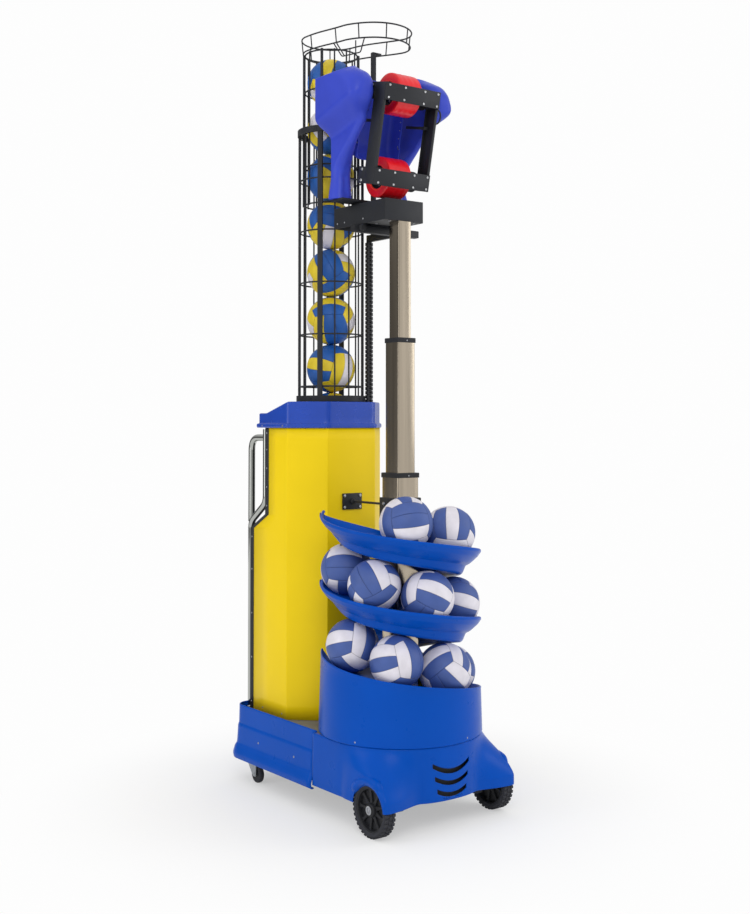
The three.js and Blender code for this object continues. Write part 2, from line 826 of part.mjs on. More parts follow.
// The lowest turn of track with a wall down to the base, and a port at the back for the balls
function ballBucket() {
  const startHeight = bucketRim;
  const { top } = trayFloorSection();
  const shift = trayRadius - bucketTopRadius;
  const rows = [];
  const steps = 30;
  const bottom = baseTop + fit;
  for (let i = 0; i <= steps; i++) {
    const degrees = trayStartAngle + traySpan * (i / steps);
    const turn = THREE.MathUtils.degToRad(degrees);
    const rim = rimHeight(startHeight, degrees);
    const flare = (z) => (bucketBottomRadius - bucketTopRadius) * (startHeight - z) / (startHeight - bottom);
    const wallOut = (z) => [bucketTopRadius + flare(z), z];
    const floorUnder = Math.max(rim - trayFloorDepth - trayWall, bottom + trayWall);
    const loop = [wallOut(bottom), wallOut(rim - trayRimRoll), wallOut(rim)];
    loop.push([bucketTopRadius + flare(rim) - trayWall, rim]);
    top.slice(3).forEach(([r, dz]) => loop.push([r - shift, Math.max(rim + dz, floorUnder + trayWall)]));
    loop.push([trayHubRadius, floorUnder]);
    loop.push([bucketTopRadius - trayWall * 2, floorUnder]);
    loop.push([bucketBottomRadius - trayWall * 2, bottom + trayWall / 2]);
    loop.push([bucketBottomRadius - trayWall * 2, bottom]);
    rows.push(loop.map(([r, z]) => point(Math.cos(turn) * r, mastY + Math.sin(turn) * r, z)));
  }
  const body = skin(rows, (row) => row.map((p) => new THREE.Vector2(Math.hypot(p.x, p.y - mastY), p.z)));
  const half = portWidth / 2;
  const port = block(-half, half, mastY + bucketTopRadius / 2, towerFrontY - fit, portBottom, portTop);
  return cut(body, mastHole(chassisBottom, startHeight), port);
}

function squareTube(width, wall, z0, z1) {
  const half = width / 2;
  const bore = half - wall;
  return cut(
    block(-half, half, mastY - half, mastY + half, z0, z1),
    block(-bore, bore, mastY - bore, mastY + bore, z0 - overrun, z1 + overrun));
}

// A moulded collar at a tube's mouth that guides the next stage
function mastCollar(tubeWidth, innerWidth, top) {
  const outer = tubeWidth / 2 + collarWall;
  const tube = tubeWidth / 2 + fit;
  const bore = innerWidth / 2 + fit;
  const cap = block(-outer, outer, mastY - outer, mastY + outer, top - collarHeight, top + collarWall + fit);
  const seat = block(-tube, tube, mastY - tube, mastY + tube, top - collarHeight - overrun, top + fit);
  const hole = block(-bore, bore, mastY - bore, mastY + bore, top - overrun, top + collarHeight);
  return cut(cap, seat, hole);
}

function mastOuter() {
  return squareTube(mastOuterWidth, mastWall, chassisBottom + mastWall + fit, mastOuterTop);
}

function mastMiddle() {
  return squareTube(mastMiddleWidth, mastWall, mastOuterTop - mastOverlap, mastMiddleTop);
}

function mastInner() {
  return squareTube(mastInnerWidth, mastWall, mastMiddleTop - mastOverlap, beamBottom - fit);
}

function mastSleeve() {
  const half = sleeveWidth / 2;
  const body = block(-half, half, mastY - half, mastY + half, sleeveBottom, sleeveTop);
  return cut(body, mastHole(sleeveBottom - overrun, sleeveTop + overrun));
}

// Plan of the tower's folded sheet, set in or out from its face by an offset
function towerPlan(offset, rearY) {
  const chamfer = offset * Math.tan(Math.PI / 8);
  const side = towerHalfWidth + offset;
  const front = towerFrontHalf + chamfer;
  const faceY = towerFrontY - offset;
  const shoulderY = towerChamferY - chamfer;
  return [
    [-side, rearY], [-side, shoulderY], [-front, faceY], [front, faceY], [side, shoulderY], [side, rearY],
  ];
}

// Side outline of everything behind the tower's stepped back edge
function behindTower(shift) {
  const far = capRearY * 2;
  return [
    [towerLowRearY + shift, deckTop - overrun], [towerLowRearY + shift, towerStepLow],
    [towerHighRearY + shift, towerStepHigh], [towerHighRearY + shift, towerTop + overrun],
    [far, towerTop + overrun], [far, deckTop - overrun],
  ];
}

function towerShell() {
  const base = deckTop + fit;
  const outer = prism(towerPlan(0, towerLowRearY), base, towerTop);
  const inner = prism(towerPlan(-sheet, towerLowRearY + overrun), base - overrun, towerTop + overrun);
  const wide = towerHalfWidth + overrun;
  const back = sidePrism(behindTower(0), -wide, wide);
  const half = portWidth / 2;
  const port = block(-half, half, towerFrontY - overrun, towerFrontY + sheet * 2, portBottom, portTop);
  return cut(outer, inner, back, port);
}

// The black back cover: a pan with a rim that follows the stepped edge
function backPanel() {
  const wide = towerHalfWidth;
  const full = cut(
    block(-wide, wide, towerHighRearY, towerLowRearY + backPanDepth, deckTop + fit, towerTop),
    sidePrism(behindTower(backPanDepth), -wide - overrun, wide + overrun));
  const before = sidePrism(aheadOfBack(fit, 0), -wide - overrun, wide + overrun);
  const pocket = sidePrism(aheadOfBack(backPanDepth - sheet, overrun), -wide + sheet, wide - sheet);
  return cut(full, before, pocket);
}

// Side outline of everything ahead of the stepped back edge
function aheadOfBack(shift, extra) {
  return [
    [0, deckTop - overrun - extra], [towerLowRearY + shift, deckTop - overrun - extra],
    [towerLowRearY + shift, towerStepLow], [towerHighRearY + shift, towerStepHigh],
    [towerHighRearY + shift, towerTop + overrun + extra], [0, towerTop + overrun + extra],
  ];
}

// A round tube through points in an upright plane at one x, mitred at each point
function bentTube(x, points, radius, sides) {
  const rows = points.map(([y, z], i) => {
    const [y0, z0] = points[Math.max(0, i - 1)];
    const [y1, z1] = points[Math.min(points.length - 1, i + 1)];
    const before = new THREE.Vector2(y - y0, z - z0).normalize();
    const after = new THREE.Vector2(y1 - y, z1 - z).normalize();
    const along = before.clone().add(after).normalize();
    const straight = before.length() ? Math.abs(along.dot(after.length() ? after : before)) : 1;
    const spread = radius / Math.max(straight, 1 / 2);
    const loop = [];
    for (let j = 0; j < sides; j++) {
      const turn = (j / sides) * Math.PI * 2;
      const out = Math.sin(turn) * spread;
      loop.push(point(x + Math.cos(turn) * radius, y + along.y * out, z - along.x * out));
    }
    return loop;
  });
  return skin(rows, (row) => row.map((p) => new THREE.Vector2(p.x, p.y + p.z)));
}

// Points of a corner rounded between two straight runs
function roundedCorner(from, corner, to, ease, steps) {
  const bend = new THREE.Vector2(...corner);
  const before = new THREE.Vector2(...from);
  const after = new THREE.Vector2(...to);
  const start = bend.clone().lerp(before, ease / bend.distanceTo(before));
  const end = bend.clone().lerp(after, ease / bend.distanceTo(after));
  const curve = new THREE.QuadraticBezierCurve(start, bend, end);
  return curve.getPoints(steps).map((p) => [p.x, p.y]);
}

// One chrome upright bent in at the waist, with its push grip joined at both ends
function handleFrame(side) {
  const x = side * handleX;
  const radius = handleTube / 2;
  const foot = [uprightLowY, deckTop + fit];
  const low = [uprightLowY, uprightBendLow];
  const high = [uprightHighY, uprightBendHigh];
  const top = [uprightHighY, uprightTop];
  const lowBend = roundedCorner(foot, low, high, uprightBendEase, 3);
  const highBend = roundedCorner(low, high, top, uprightBendEase, 3);
  const upright = [foot, ...lowBend, ...highBend, top];
  const gripCorner = [uprightLowY, gripTopHeight];
  const gripEnd = [uprightHighY, gripTopHeight];
  const grip = [low, ...roundedCorner(low, gripCorner, gripEnd, gripCornerRadius, 5), gripEnd];
  return join(bentTube(x, upright, radius, 12), bentTube(x, grip, radius - fit, 12));
}

// Plan of the cap: the tower's plan with its back edge carried over the uprights
function capPlan(offset) {
  return towerPlan(offset, capRearY + offset - capOverhang);
}

// Height of the cap's top at a depth: low at the back, rising to a flat front
function capTopOutline(drop) {
  const lip = towerTop + capLipHeight;
  const ridgeRear = (towerHighRearY + towerChamferY) / 2;
  return [
    [towerFrontY - capOverhang * 2, towerTop - overrun],
    [towerFrontY - capOverhang * 2, lip + capFrontHeight - drop],
    [towerChamferY, lip + capFrontHeight - drop],
    [ridgeRear + capRearHeight * 2, lip + capRearHeight - drop],
    [capRearY + capOverhang * 2, lip + capRearHeight - drop],
    [capRearY + capOverhang * 2, towerTop - overrun],
  ];
}

function topCap() {
  const lipTop = towerTop + capLipHeight;
  const high = lipTop + capFrontHeight;
  const wide = towerHalfWidth + capOverhang * 2;
  const lip = prism(capPlan(capOverhang), towerTop + fit, lipTop);
  const crown = prism(capPlan(capOverhang - capInset), towerTop + fit, high)
    .intersect(sidePrism(capTopOutline(0), -wide, wide));
  const hollow = prism(capPlan(capOverhang - capInset - capWall), towerTop - overrun, high)
    .intersect(sidePrism(capTopOutline(capWall), -wide, wide));
  const mouth = rod(point(0, cageY, towerTop), point(0, cageY, high + overrun), cageOpening, 40);
  const slot = block(
    chainX - chainWidth / 2 - capWall / 2, chainX + chainWidth / 2 + capWall / 2,
    chainY - chainDepth / 2 - capWall / 2, chainY + chainDepth / 2 + capWall / 2, towerTop, high + overrun);
  const seat = prism(towerPlan(fit, towerHighRearY + backPanDepth + fit), towerTop - overrun, towerTop + fit);
  return cut(join(lip, crown), hollow, mouth, slot, seat);
}

function guideRing() {
  const outer = guideRingInner + guideRingWall;
  return ring([[guideRingInner, 0], [outer, 0], [outer, guideRingHeight], [guideRingInner, guideRingHeight]],
    24, cageY, capSurface() + fit);
}

function capSurface() {
  return towerTop + capLipHeight + capFrontHeight;
}

function wireRing(radius, wire, y, z, sides) {
  const half = wire / 2;
  const inner = radius - half;
  const outer = radius + half;
  return ring([[inner, -half], [outer, -half], [outer, half], [inner, half]], sides, y, z);
}

function onCircle(radius, degrees, z) {
  const turn = THREE.MathUtils.degToRad(degrees);
  return point(Math.cos(turn) * radius, cageY + Math.sin(turn) * radius, z);
}

// Uprights of a cage: a few thick rails with thin wires between them
function cageBars(radius, angles, width, sides, z0, z1) {
  return angles.map((a) => rod(onCircle(radius, a, z0), onCircle(radius, a, z1), width / 2, sides));
}

// An upright flat bar that faces the middle of the cage
function flatRail(degrees) {
  const deep = railDiameter / 2;
  const wide = railWidth / 2;
  const geometry = new THREE.BoxGeometry(deep * 2, wide * 2, middleCageHeight);
  geometry.translate(middleRailRadius, 0, (middleCageBottom + middleCageTop) / 2);
  geometry.rotateZ(THREE.MathUtils.degToRad(degrees));
  geometry.translate(0, cageY, 0);
  return solid(geometry);
}

function cageMiddle() {
  const wires = cageBars(middleWireRadius, wireAngles, wireDiameter, 4, middleCageBottom, middleCageTop);
  const bars = railAngles.map(flatRail).concat(wires);
  const rings = [];
  for (let z = middleCageTop - cageRingPitch; z > middleCageBottom; z -= cageRingPitch) {
    rings.push(wireRing(middleWireRadius, wireDiameter, cageY, z, 16));
  }
  rings.push(wireRing(middleWireRadius, wireDiameter, cageY, middleCageBottom + wireDiameter, 16));
  const bandOuter = middleRailRadius + railDiameter / 2 + middleBandWall / 2;
  const bandInner = middleRailRadius - wireDiameter;
  const high = middleBandHeight;
  const section = [[bandInner, 0], [bandOuter, 0], [bandOuter, high], [bandInner, high]];
  const band = ring(section, 24, cageY, middleCageTop - high);
  return join(band, ...bars, ...rings);
}

function cageUpper() {
  const rails = cageBars(upperRailRadius, railAngles, railDiameter, 6, upperCageBottom, upperCageTop);
  const wires = cageBars(upperWireRadius, wireAngles, wireDiameter, 4, upperCageBottom, upperCageTop);
  const bars = rails.concat(wires);
  const rings = [];
  const span = upperCageTop - upperCageBottom - wireDiameter * 2;
  const count = 4;
  for (let i = 0; i <= count; i++) {
    const z = upperCageBottom + wireDiameter + span * (i / count);
    rings.push(wireRing(upperWireRadius, wireDiameter, cageY, z, 16));
  }
  return join(...bars, ...rings);
}

// A loop of wire with round ends, seen from above, at one height
function hoopLoop(inset, z) {
  const path = new THREE.CurvePath();
  const rear = hoopRearRadius - inset;
  const front = hoopFrontRadius - inset;
  const arc = (y, r, a0, a1) => {
    const points = [];
    const steps = 10;
    for (let i = 0; i <= steps; i++) {
      const turn = THREE.MathUtils.degToRad(a0 + (a1 - a0) * (i / steps));
      points.push(point(Math.cos(turn) * r, y + Math.sin(turn) * r, z));
    }
    return points;
  };
  const points = arc(cageY, rear, 0, 180).concat(arc(hoopFrontY, front, 180, 360));
  const rows = points.map((p, i) => {
    const before = points[(i + points.length - 1) % points.length];
    const after = points[(i + 1) % points.length];
    const along = new THREE.Vector3().subVectors(after, before).normalize();
    const out = new THREE.Vector3(along.y, -along.x, 0);
    const loop = [];
    for (let j = 0; j < 4; j++) {
      const turn = (j + 1 / 2) / 4 * Math.PI * 2;
      const corner = hoopWire * Math.SQRT1_2;
      const up = point(0, 0, Math.sin(turn) * corner);
      loop.push(p.clone().addScaledVector(out, Math.cos(turn) * corner).add(up));
    }
    return loop;
  });
  return { body: skin(rows), points };
}

// Half the width of the lower loop at a depth, along its straight side
function loopHalfWidth(y) {
  const share = (y - hoopFrontY) / (cageY - hoopFrontY);
  return hoopFrontRadius - hoopInset + (hoopRearRadius - hoopFrontRadius) * share;
}

// Two loops joined by uprights, with a drop guard below the front loop and struts to the cage
function hoopBasket() {
  const topZ = hoopTop - hoopWire / 2;
  const lowZ = hoopTop - hoopDepth;
  const upper = hoopLoop(0, topZ);
  const lower = hoopLoop(hoopInset, lowZ);
  const struts = [];
  for (let i = 1; i < upper.points.length; i += 3) {
    struts.push(rod(upper.points[i], lower.points[i], hoopStrutRadius, 5));
  }
  const y0 = hoopFrontY - guardHalfLength;
  const y1 = hoopFrontY + guardHalfLength;
  const front = hoopFrontRadius - hoopInset;
  const x = -Math.sqrt(front * front - guardHalfLength * guardHalfLength);
  const corners = [
    point(x, y0, lowZ),
    point(x, y0 + guardDrop / 2, lowZ - guardDrop),
    point(x, y1 - guardDrop / 2, lowZ - guardDrop),
    point(-loopHalfWidth(y1), y1, lowZ),
  ];
  for (let i = 1; i < corners.length; i++) struts.push(rod(corners[i - 1], corners[i], hoopStrutRadius, 6));
  return join(upper.body, lower.body, ...struts);
}

// Folded box beam, open below at the back half, that sits on the mast's top
function crossbeam() {
  const outer = block(-beamHalfWidth, beamHalfWidth, beamFrontY, beamRearY, beamBottom, beamTop);
  const half = beamHalfWidth - beamWall;
  const hollowY = mastY + mastOuterWidth;
  const inner = block(-half, half, hollowY, beamRearY - beamWall, beamBottom - overrun, beamTop - beamWall);
  return cut(outer, inner);
}

// Bar across the beam's underside with an arm to the back and a post up to the basket
function cageBracket() {
  const top = beamBottom - fit;
  const low = top - bracketBar;
  const half = bracketPostWidth / 2;
  const bar = block(bracketLeft, bracketRight, bracketY, bracketY + bracketBar, low, top);
  const armRear = chainY + chainDepth / 2;
  const arm = block(chainX - half, chainX + half, bracketY + bracketBar / 2, armRear, low, top);
  const postTop = hoopTop - hoopDepth - hoopWire / 2 - fit;
  const post = block(
    bracketPostX - half, bracketPostX + half, bracketPostY - half, bracketPostY + half, top - fit, postTop);
  const reach = hoopFrontRadius;
  const tab = block(bracketPostX, reach, bracketPostY - half, bracketPostY + half, postTop - half, postTop);
  return join(bar, arm, post, tab);
}

// Knob that clamps the bracket's bar, on its threaded neck
function clampKnob() {
  const z = beamBottom - fit - bracketBar / 2;
  const face = bracketY - fit;
  const seat = face - knobNeck;
  const neck = rod(point(knobX, seat - fit, z), point(knobX, face, z), knobNeckDiameter / 2, 12);
  const grip = rod(point(knobX, seat - knobLength, z), point(knobX, seat, z), knobDiameter / 2, 16);
  return join(neck, grip);
}

// A round cable along points in one plane, given that plane's normal
function cable(points, side, radius, sides) {
  const rows = points.map((p, i) => {
    const next = points[Math.min(i + 1, points.length - 1)];
    const along = next.clone().sub(points[Math.max(i - 1, 0)]).normalize();
    const lift = new THREE.Vector3().crossVectors(side, along);
    const loop = [];
    for (let j = 0; j < sides; j++) {
      const turn = (j / sides) * Math.PI * 2;
      const c = Math.cos(turn) * radius;
      loop.push(p.clone().addScaledVector(side, c).addScaledVector(lift, Math.sin(turn) * radius));
    }
    return loop;
  });
  return skin(rows, () => Array.from({ length: sides }, (_, j) => {
    const turn = (j / sides) * Math.PI * 2;
    return new THREE.Vector2(Math.cos(turn), Math.sin(turn));
  }));
}

// Short motor lead that bows out from the head's right column and back to it
function headCable() {
  const points = [point(headCableX, -headCableY, headCableTop)];
  for (let i = 0; i <= headCableSteps; i++) {
    const turn = (i / headCableSteps) * Math.PI;
    const drop = headCableDrop / 2 * (1 - Math.cos(turn));
    const x = headCableX + cableLead + Math.sin(turn) * headCableBow;
    points.push(point(x, -headCableY, headCableTop - drop));
  }
  points.push(point(headCableX, -headCableY, headCableTop - headCableDrop));
  return tipped(cable(points, point(0, 1, 0), headCableDiameter / 2, 8));
}

// Flat links with a hole through each, hung from the bracket's arm into the tower
function dragChain() {
  const top = chainTop;
  const bottom = top - chainPitch * chainLinks;
  const half = chainWidth / 2;
  const waist = half * chainWaistShare;
  const outline = [];
  for (let i = 0; i < chainLinks; i++) {
    const z = bottom + i * chainPitch;
    const [full, narrow] = chainTaperShares;
    outline.push([half, z], [half, z + chainPitch * full], [waist, z + chainPitch * narrow]);
  }
  outline.push([half, top]);
  const left = outline.map(([x, z]) => [-x, z]).reverse();
  const shape = polygon(outline.concat(left).map(([x, z]) => [x + chainX, z]));
  for (let i = 0; i < chainLinks; i++) {
    const hole = new THREE.Path();
    const z = bottom + (i + chainHoleShare) * chainPitch;
    for (let j = 0; j < 6; j++) {
      const turn = -(j / 6) * Math.PI * 2;
      const hx = chainX + Math.cos(turn) * chainHole / 2;
      const hz = z + Math.sin(turn) * chainHole / 2;
      if (j === 0) hole.moveTo(hx, hz);
      else hole.lineTo(hx, hz);
    }
    hole.closePath();
    shape.holes.push(hole);
  }
  const geometry = new THREE.ExtrudeGeometry(shape, { depth: chainDepth, bevelEnabled: false });
  geometry.rotateX(Math.PI / 2);
  geometry.translate(0, chainY + chainDepth / 2, 0);
  return solid(geometry);
}

// Turntable disc with the plate that the two cover arms stand on
function yokeBase() {
  const z = beamTop + fit;
  const disc = rod(point(0, yawY, z), point(0, yawY, z + yawDiscHeight), yawDiscRadius, 32);
  const plate = block(
    -yokePlateHalfLength, yokePlateHalfLength, yawY - yokePlateHalfWidth, yawY + yokePlateHalfWidth,
    z + yawDiscHeight, z + yawDiscHeight + yokePlateThickness);
  return join(disc, plate);
}

// Sections of the left cover from foot to crown: height, x centre, y centre, half width, half depth
function coverSections() {
  const z = yokeTop + fit;
  const span = coverTop - z;
  const rear = yawY + footHalfLength;
  return coverShares.map(([up, inShare, outShare, backShare, deepShare]) => {
    const inner = footInner + (coverInner - footInner) * inShare;
    const outer = footOuter + (coverOuter - footOuter) * outShare;
    const back = rear - coverDepth * backShare;
    const front = rear - coverDepth * deepShare;
    const centreX = (inner + outer) / 2;
    const centreY = (back + front) / 2;
    return { z: z + span * up, x: centreX, y: centreY, half: (outer - inner) / 2, halfDepth: (back - front) / 2 };
  });
}

function yokeCover(side) {
  const rows = coverSections().map(({ z, x, y, half, halfDepth }) => {
    const loop = [];
    const count = 16;
    for (let i = 0; i < count; i++) {
      const turn = (i / count) * Math.PI * 2;
      const c = Math.cos(turn);
      const s = Math.sin(turn);
      const power = coverRoundingShare;
      const out = Math.sign(c) * Math.abs(c) ** power * half;
      const back = Math.sign(s) * Math.abs(s) ** power * halfDepth;
      loop.push(point(side * (x + out), y + back, z));
    }
    return loop;
  });
  const seat = rod(
    point(side * (coverInner - overrun), pivotY, pivotHeight),
    point(side * (coverInner + pinSeat), pivotY, pivotHeight), pinDiameter / 2 + fit, 20);
  return cut(skin(rows, (row) => row.map((p) => new THREE.Vector2(p.x, p.y))), seat);
}

function pitchPin(side) {
  return rod(
    point(side * (crossPlateLength / 2 + fit), pivotY, pivotHeight),
    point(side * (coverInner + pinSeat - fit), pivotY, pivotHeight), pinDiameter / 2, 20);
}

// Places a piece drawn in the head's own frame: pivot at the origin, tipped forward at rest
function tipped(body) {
  const geometry = geometryOf(body);
  geometry.rotateX(THREE.MathUtils.degToRad(restPitch));
  geometry.translate(0, pivotY, pivotHeight);
  return solid(geometry);
}

// Two cross plates and two side columns, bolted into one frame
function headFrame() {
  const half = crossPlateLength / 2;
  const upper = launchWheelRise;
  const lower = launchWheelFall;
  const front = -crossPlateReach;
  const back = front + crossPlateThickness;
  const plate = (z) => block(-half, half, front, back, z - crossPlateHeight / 2, z + crossPlateHeight / 2);
  const column = (side) => {
    const outer = side * half;
    const inner = side * (half - columnWidth);
    const body = block(Math.min(outer, inner), Math.max(outer, inner), back - fit, back + columnFootDepth,
      lower - crossPlateHeight / 2, upper + crossPlateHeight / 2);
    const far = back + columnFootDepth + overrun;
    const relief = sidePrism([
      [back + columnDepth, lower + crossPlateHeight / 2],
      [far, lower + crossPlateHeight],
      [far, upper - crossPlateHeight],
      [back + columnDepth, upper - crossPlateHeight / 2],
    ], Math.min(outer, inner) - overrun, Math.max(outer, inner) + overrun);
    return cut(body, relief);
  };
  const bore = launchShaftDiameter / 2 + fit;
  const end = half + overrun;
  const shafts = [upper, lower].map((z) => rod(point(-end, wheelY(), z), point(end, wheelY(), z), bore, 16));
  return tipped(cut(join(plate(upper), plate(lower), column(-1), column(1)), ...shafts));
}

// Rear face of the side columns between the cross plates
function columnBack() {
  return -crossPlateReach + crossPlateThickness + columnDepth;
}

function wheelY() {
  return -crossPlateReach + crossPlateThickness + launchWheelDiameter / 2 + launchTyreLip;
}

// One urethane launching wheel on its hub and shaft
function launchWheel(z) {
  const half = launchWheelWidth / 2;
  const outer = launchWheelDiameter / 2;
  const hub = launchHubDiameter / 2;
  const shaft = launchShaftDiameter / 2;
  const end = crossPlateLength / 2 - columnWidth / 2;
  const disc = half * hubFaceShare;
  const lip = launchTyreLip;
  const profile = [
    [0, -end], [shaft, -end], [shaft, -disc], [hub - lip, -disc], [hub - lip, -half + lip],
    [hub, -half], [outer - lip, -half], [outer, -half + lip], [outer, half - lip],
    [outer - lip, half], [hub, half], [hub - lip, half - lip],
    [hub - lip, disc], [shaft, disc], [shaft, end], [0, end],
  ];
  const geometry = new THREE.LatheGeometry(profile.map(([r, h]) => new THREE.Vector2(r, h)), 22);
  geometry.rotateZ(-Math.PI / 2);
  geometry.translate(0, wheelY(), z);
  return tipped(solid(geometry));
}

// Hub motor clamped to the right column, clear of the turning shaft
function launchMotor(z) {
  const x1 = crossPlateLength / 2 - columnWidth - fit;
  const x0 = x1 - motorLength;
  const body = rod(point(x0, wheelY(), z), point(x1, wheelY(), z), motorDiameter / 2, 24);
  const clear = launchShaftDiameter / 2 + fit * 2;
  const bore = rod(point(x0 - overrun, wheelY(), z), point(x1 + overrun, wheelY(), z), clear, 16);
  return tipped(cut(body, bore));
}

// Side outline of the chute: a curved back that turns forward under the ball
function chuteCurve(offset) {
  const upper = launchWheelRise;
  const lower = launchWheelFall;
  const rear = wheelY() + chuteRear + offset;
  const floor = (upper + lower) / 2 - ballDiameter / 2 - offset;
  const lip = wheelY() + chuteLipReach;
  const radius = rear - lip;
  const points = [[rear, upper + chuteRise]];
  const steps = 8;
  for (let i = 0; i <= steps; i++) {
    const turn = -(i / steps) * Math.PI / 2;
    points.push([rear - radius + Math.cos(turn) * radius, floor + radius + Math.sin(turn) * radius]);
  }
  return points;
}

function ballChute() {
  const outside = chuteCurve(chuteWall);
  const inside = chuteCurve(0);
  const shell = sidePrism(outside.concat(inside.slice().reverse()), -chuteHalfWidth, chuteHalfWidth);
  const cheek = outside.concat([[inside[inside.length - 1][0], inside[0][1]]]);
  const cheeks = [-1, 1].map((side) => {
    const outer = side * chuteHalfWidth;
    const inner = side * (chuteHalfWidth - chuteWall);
    return sidePrism(cheek, Math.min(outer, inner), Math.max(outer, inner));
  });
  const ears = [-1, 1].flatMap((side) => {
    const cheekInner = chuteHalfWidth - chuteWall;
    const lip = wheelY() + chuteLipReach;
    const z0 = chuteEarHeight - chuteEarWidth / 2;
    const z1 = chuteEarHeight + chuteEarWidth / 2;
    const y0 = columnBack() - chuteEarWidth;
    const arm = [side * cheekInner, side * chuteHalfWidth];
    const foot = [side * cheekInner, side * (crossPlateLength / 2 - columnWidth - fit)];
    return [
      block(Math.min(...arm), Math.max(...arm), y0, lip + chuteWall, z0, z1),
      block(Math.min(...foot), Math.max(...foot), y0, columnBack(), z0, z1),
    ];
  });
  return tipped(join(shell, ...cheeks, ...ears));
}

function frontAxle() {
  const end = frontWheelTrack / 2 + frontWheelWidth / 2;
  const z = frontWheelRadius;
  return rod(point(-end, frontAxleY, z), point(end, frontAxleY, z), frontAxleDiameter / 2, 16);
}

// Moulded front wheel: treaded tyre, dished rim and nine spokes
function frontWheel(side) {
  const half = frontWheelWidth / 2;
  const outer = frontWheelRadius;
  const rim = outer - frontTyreDepth;
  const rimInner = rim - frontRimWall;
  const hub = frontHubDiameter / 2;
  const bore = frontAxleDiameter / 2 + fit;
  const spin = (profile, sides) => {
    const points = profile.map(([r, h]) => new THREE.Vector2(r, h));
    points.push(points[0].clone());
    const geometry = new THREE.LatheGeometry(points, sides);
    geometry.rotateZ(-Math.PI / 2);
    return outward(geometry);
  };
  const tyre = spin([
    [rimInner, -half], [rim, -half], [outer, -half + frontRimWall],
    [outer, half - frontRimWall], [rim, half], [rimInner, half],
  ], 24);
  const hubBody = spin([[bore, -half], [hub, -half + fit], [hub, half - fit], [bore, half]], 16);
  const pieces = [];
  const spokes = 9;
  for (let i = 0; i < spokes; i++) {
    const turn = (i / spokes) * Math.PI * 2;
    const length = rimInner - hub + frontRimWall;
    const geometry = new THREE.BoxGeometry(frontSpokeWidth, length, frontSpokeThickness);
    geometry.translate(0, (rimInner + hub) / 2, 0);
    geometry.rotateX(turn);
    pieces.push(solid(geometry));
  }
  const body = join(tyre, hubBody, ...pieces);
  const geometry = geometryOf(body);
  geometry.translate(side * frontWheelTrack / 2, frontAxleY, frontWheelRadius);
  return solid(geometry);
}

// Pressed caster fork under its swivel race and bolting plate
function casterFork(side) {
  const x = side * casterTrack / 2;
  const plateTop = chassisBottom - fit;
  const plateLow = plateTop - casterPlateThickness;
  const axleZ = casterWheelDiameter / 2;
  const wheelY0 = casterY - casterTrail;
  const wide = casterPlateWidth / 2;
  const long = casterPlateLength / 2;
  const plate = block(x - wide, x + wide, casterY - long, casterY + long, plateLow, plateTop);
  return { x, plateLow, axleZ, wheelY0, plate };
}

function casterPlate(side) {
  const { plate, x, plateLow } = casterFork(side);
  const raceLow = point(x, casterY, plateLow - casterRaceHeight / 2);
  const race = rod(raceLow, point(x, casterY, plateLow + fit), casterRaceDiameter / 2, 24);
  return join(plate, race);
}

function casterYoke(side) {
  const { x, plateLow, axleZ, wheelY0 } = casterFork(side);
  const top = plateLow - casterRaceHeight / 2 - fit;
  const crown = top - casterForkThickness - casterForkThickness / 2;
  const innerHalf = casterWheelWidth / 2 + casterForkThickness / 2;
  const outerHalf = innerHalf + casterForkThickness;
  const race = casterRaceDiameter / 2;
  const bridge = block(x - outerHalf, x + outerHalf, wheelY0 - race / 2, casterY + race, crown, top);
  const leg = (inner, outer) => sidePrism([
    [wheelY0 - casterAxleDiameter, axleZ - casterAxleDiameter],
    [wheelY0 + casterAxleDiameter, axleZ - casterAxleDiameter],
    [casterY + race, crown], [casterY + race, top - fit], [wheelY0 - race / 2, top - fit],
  ], Math.min(inner, outer), Math.max(inner, outer));
  const left = point(x - outerHalf - fit, wheelY0, axleZ);
  const right = point(x + outerHalf + fit, wheelY0, axleZ);
  const axle = rod(left, right, casterAxleDiameter / 2, 16);
  return join(bridge, leg(x - outerHalf, x - innerHalf), leg(x + innerHalf, x + outerHalf), axle);
}

function casterWheel(side) {
  const { x, axleZ, wheelY0 } = casterFork(side);
  const half = casterWheelWidth / 2;
  const outer = casterWheelDiameter / 2;
  const bore = casterAxleDiameter / 2 + fit;
  const rising = casterWheelShares.map(([r, h]) => [outer * r, -half * h]);
  const falling = casterWheelShares.map(([r, h]) => [outer * r, half * h]).reverse();
  const points = flat([[bore, -half], ...rising, ...falling, [bore, half]]);
  points.push(points[0].clone());
  const geometry = new THREE.LatheGeometry(points, 18);
  geometry.rotateZ(-Math.PI / 2);
  geometry.translate(x, wheelY0, axleZ);
  return outward(geometry);
}

// Plate on the tower's face with the stay that steadies the mast
function braceStay() {
  const face = towerFrontY - fit;
  const half = bracePlateWidth / 2;
  const rise = bracePlateHeight / 2;
  const plate = block(-half, half, face - bracePlateThickness, face, braceHeight - rise, braceHeight + rise);
  const rear = point(0, face - bracePlateThickness / 2, braceHeight);
  const front = point(0, mastY + sleeveWidth / 2 + fit, braceHeight);
  const stay = rod(rear, front, braceRodDiameter / 2, 12);
  return join(plate, stay);
}

// Upright rail in the tower that the ball lifter climbs
function lifterRail() {
  const half = lifterRailWidth / 2;
  const low = deckTop + fit;
  return block(lifterRailX - half, lifterRailX + half, cageY - half, cageY + half, low, lifterRailTop);
}

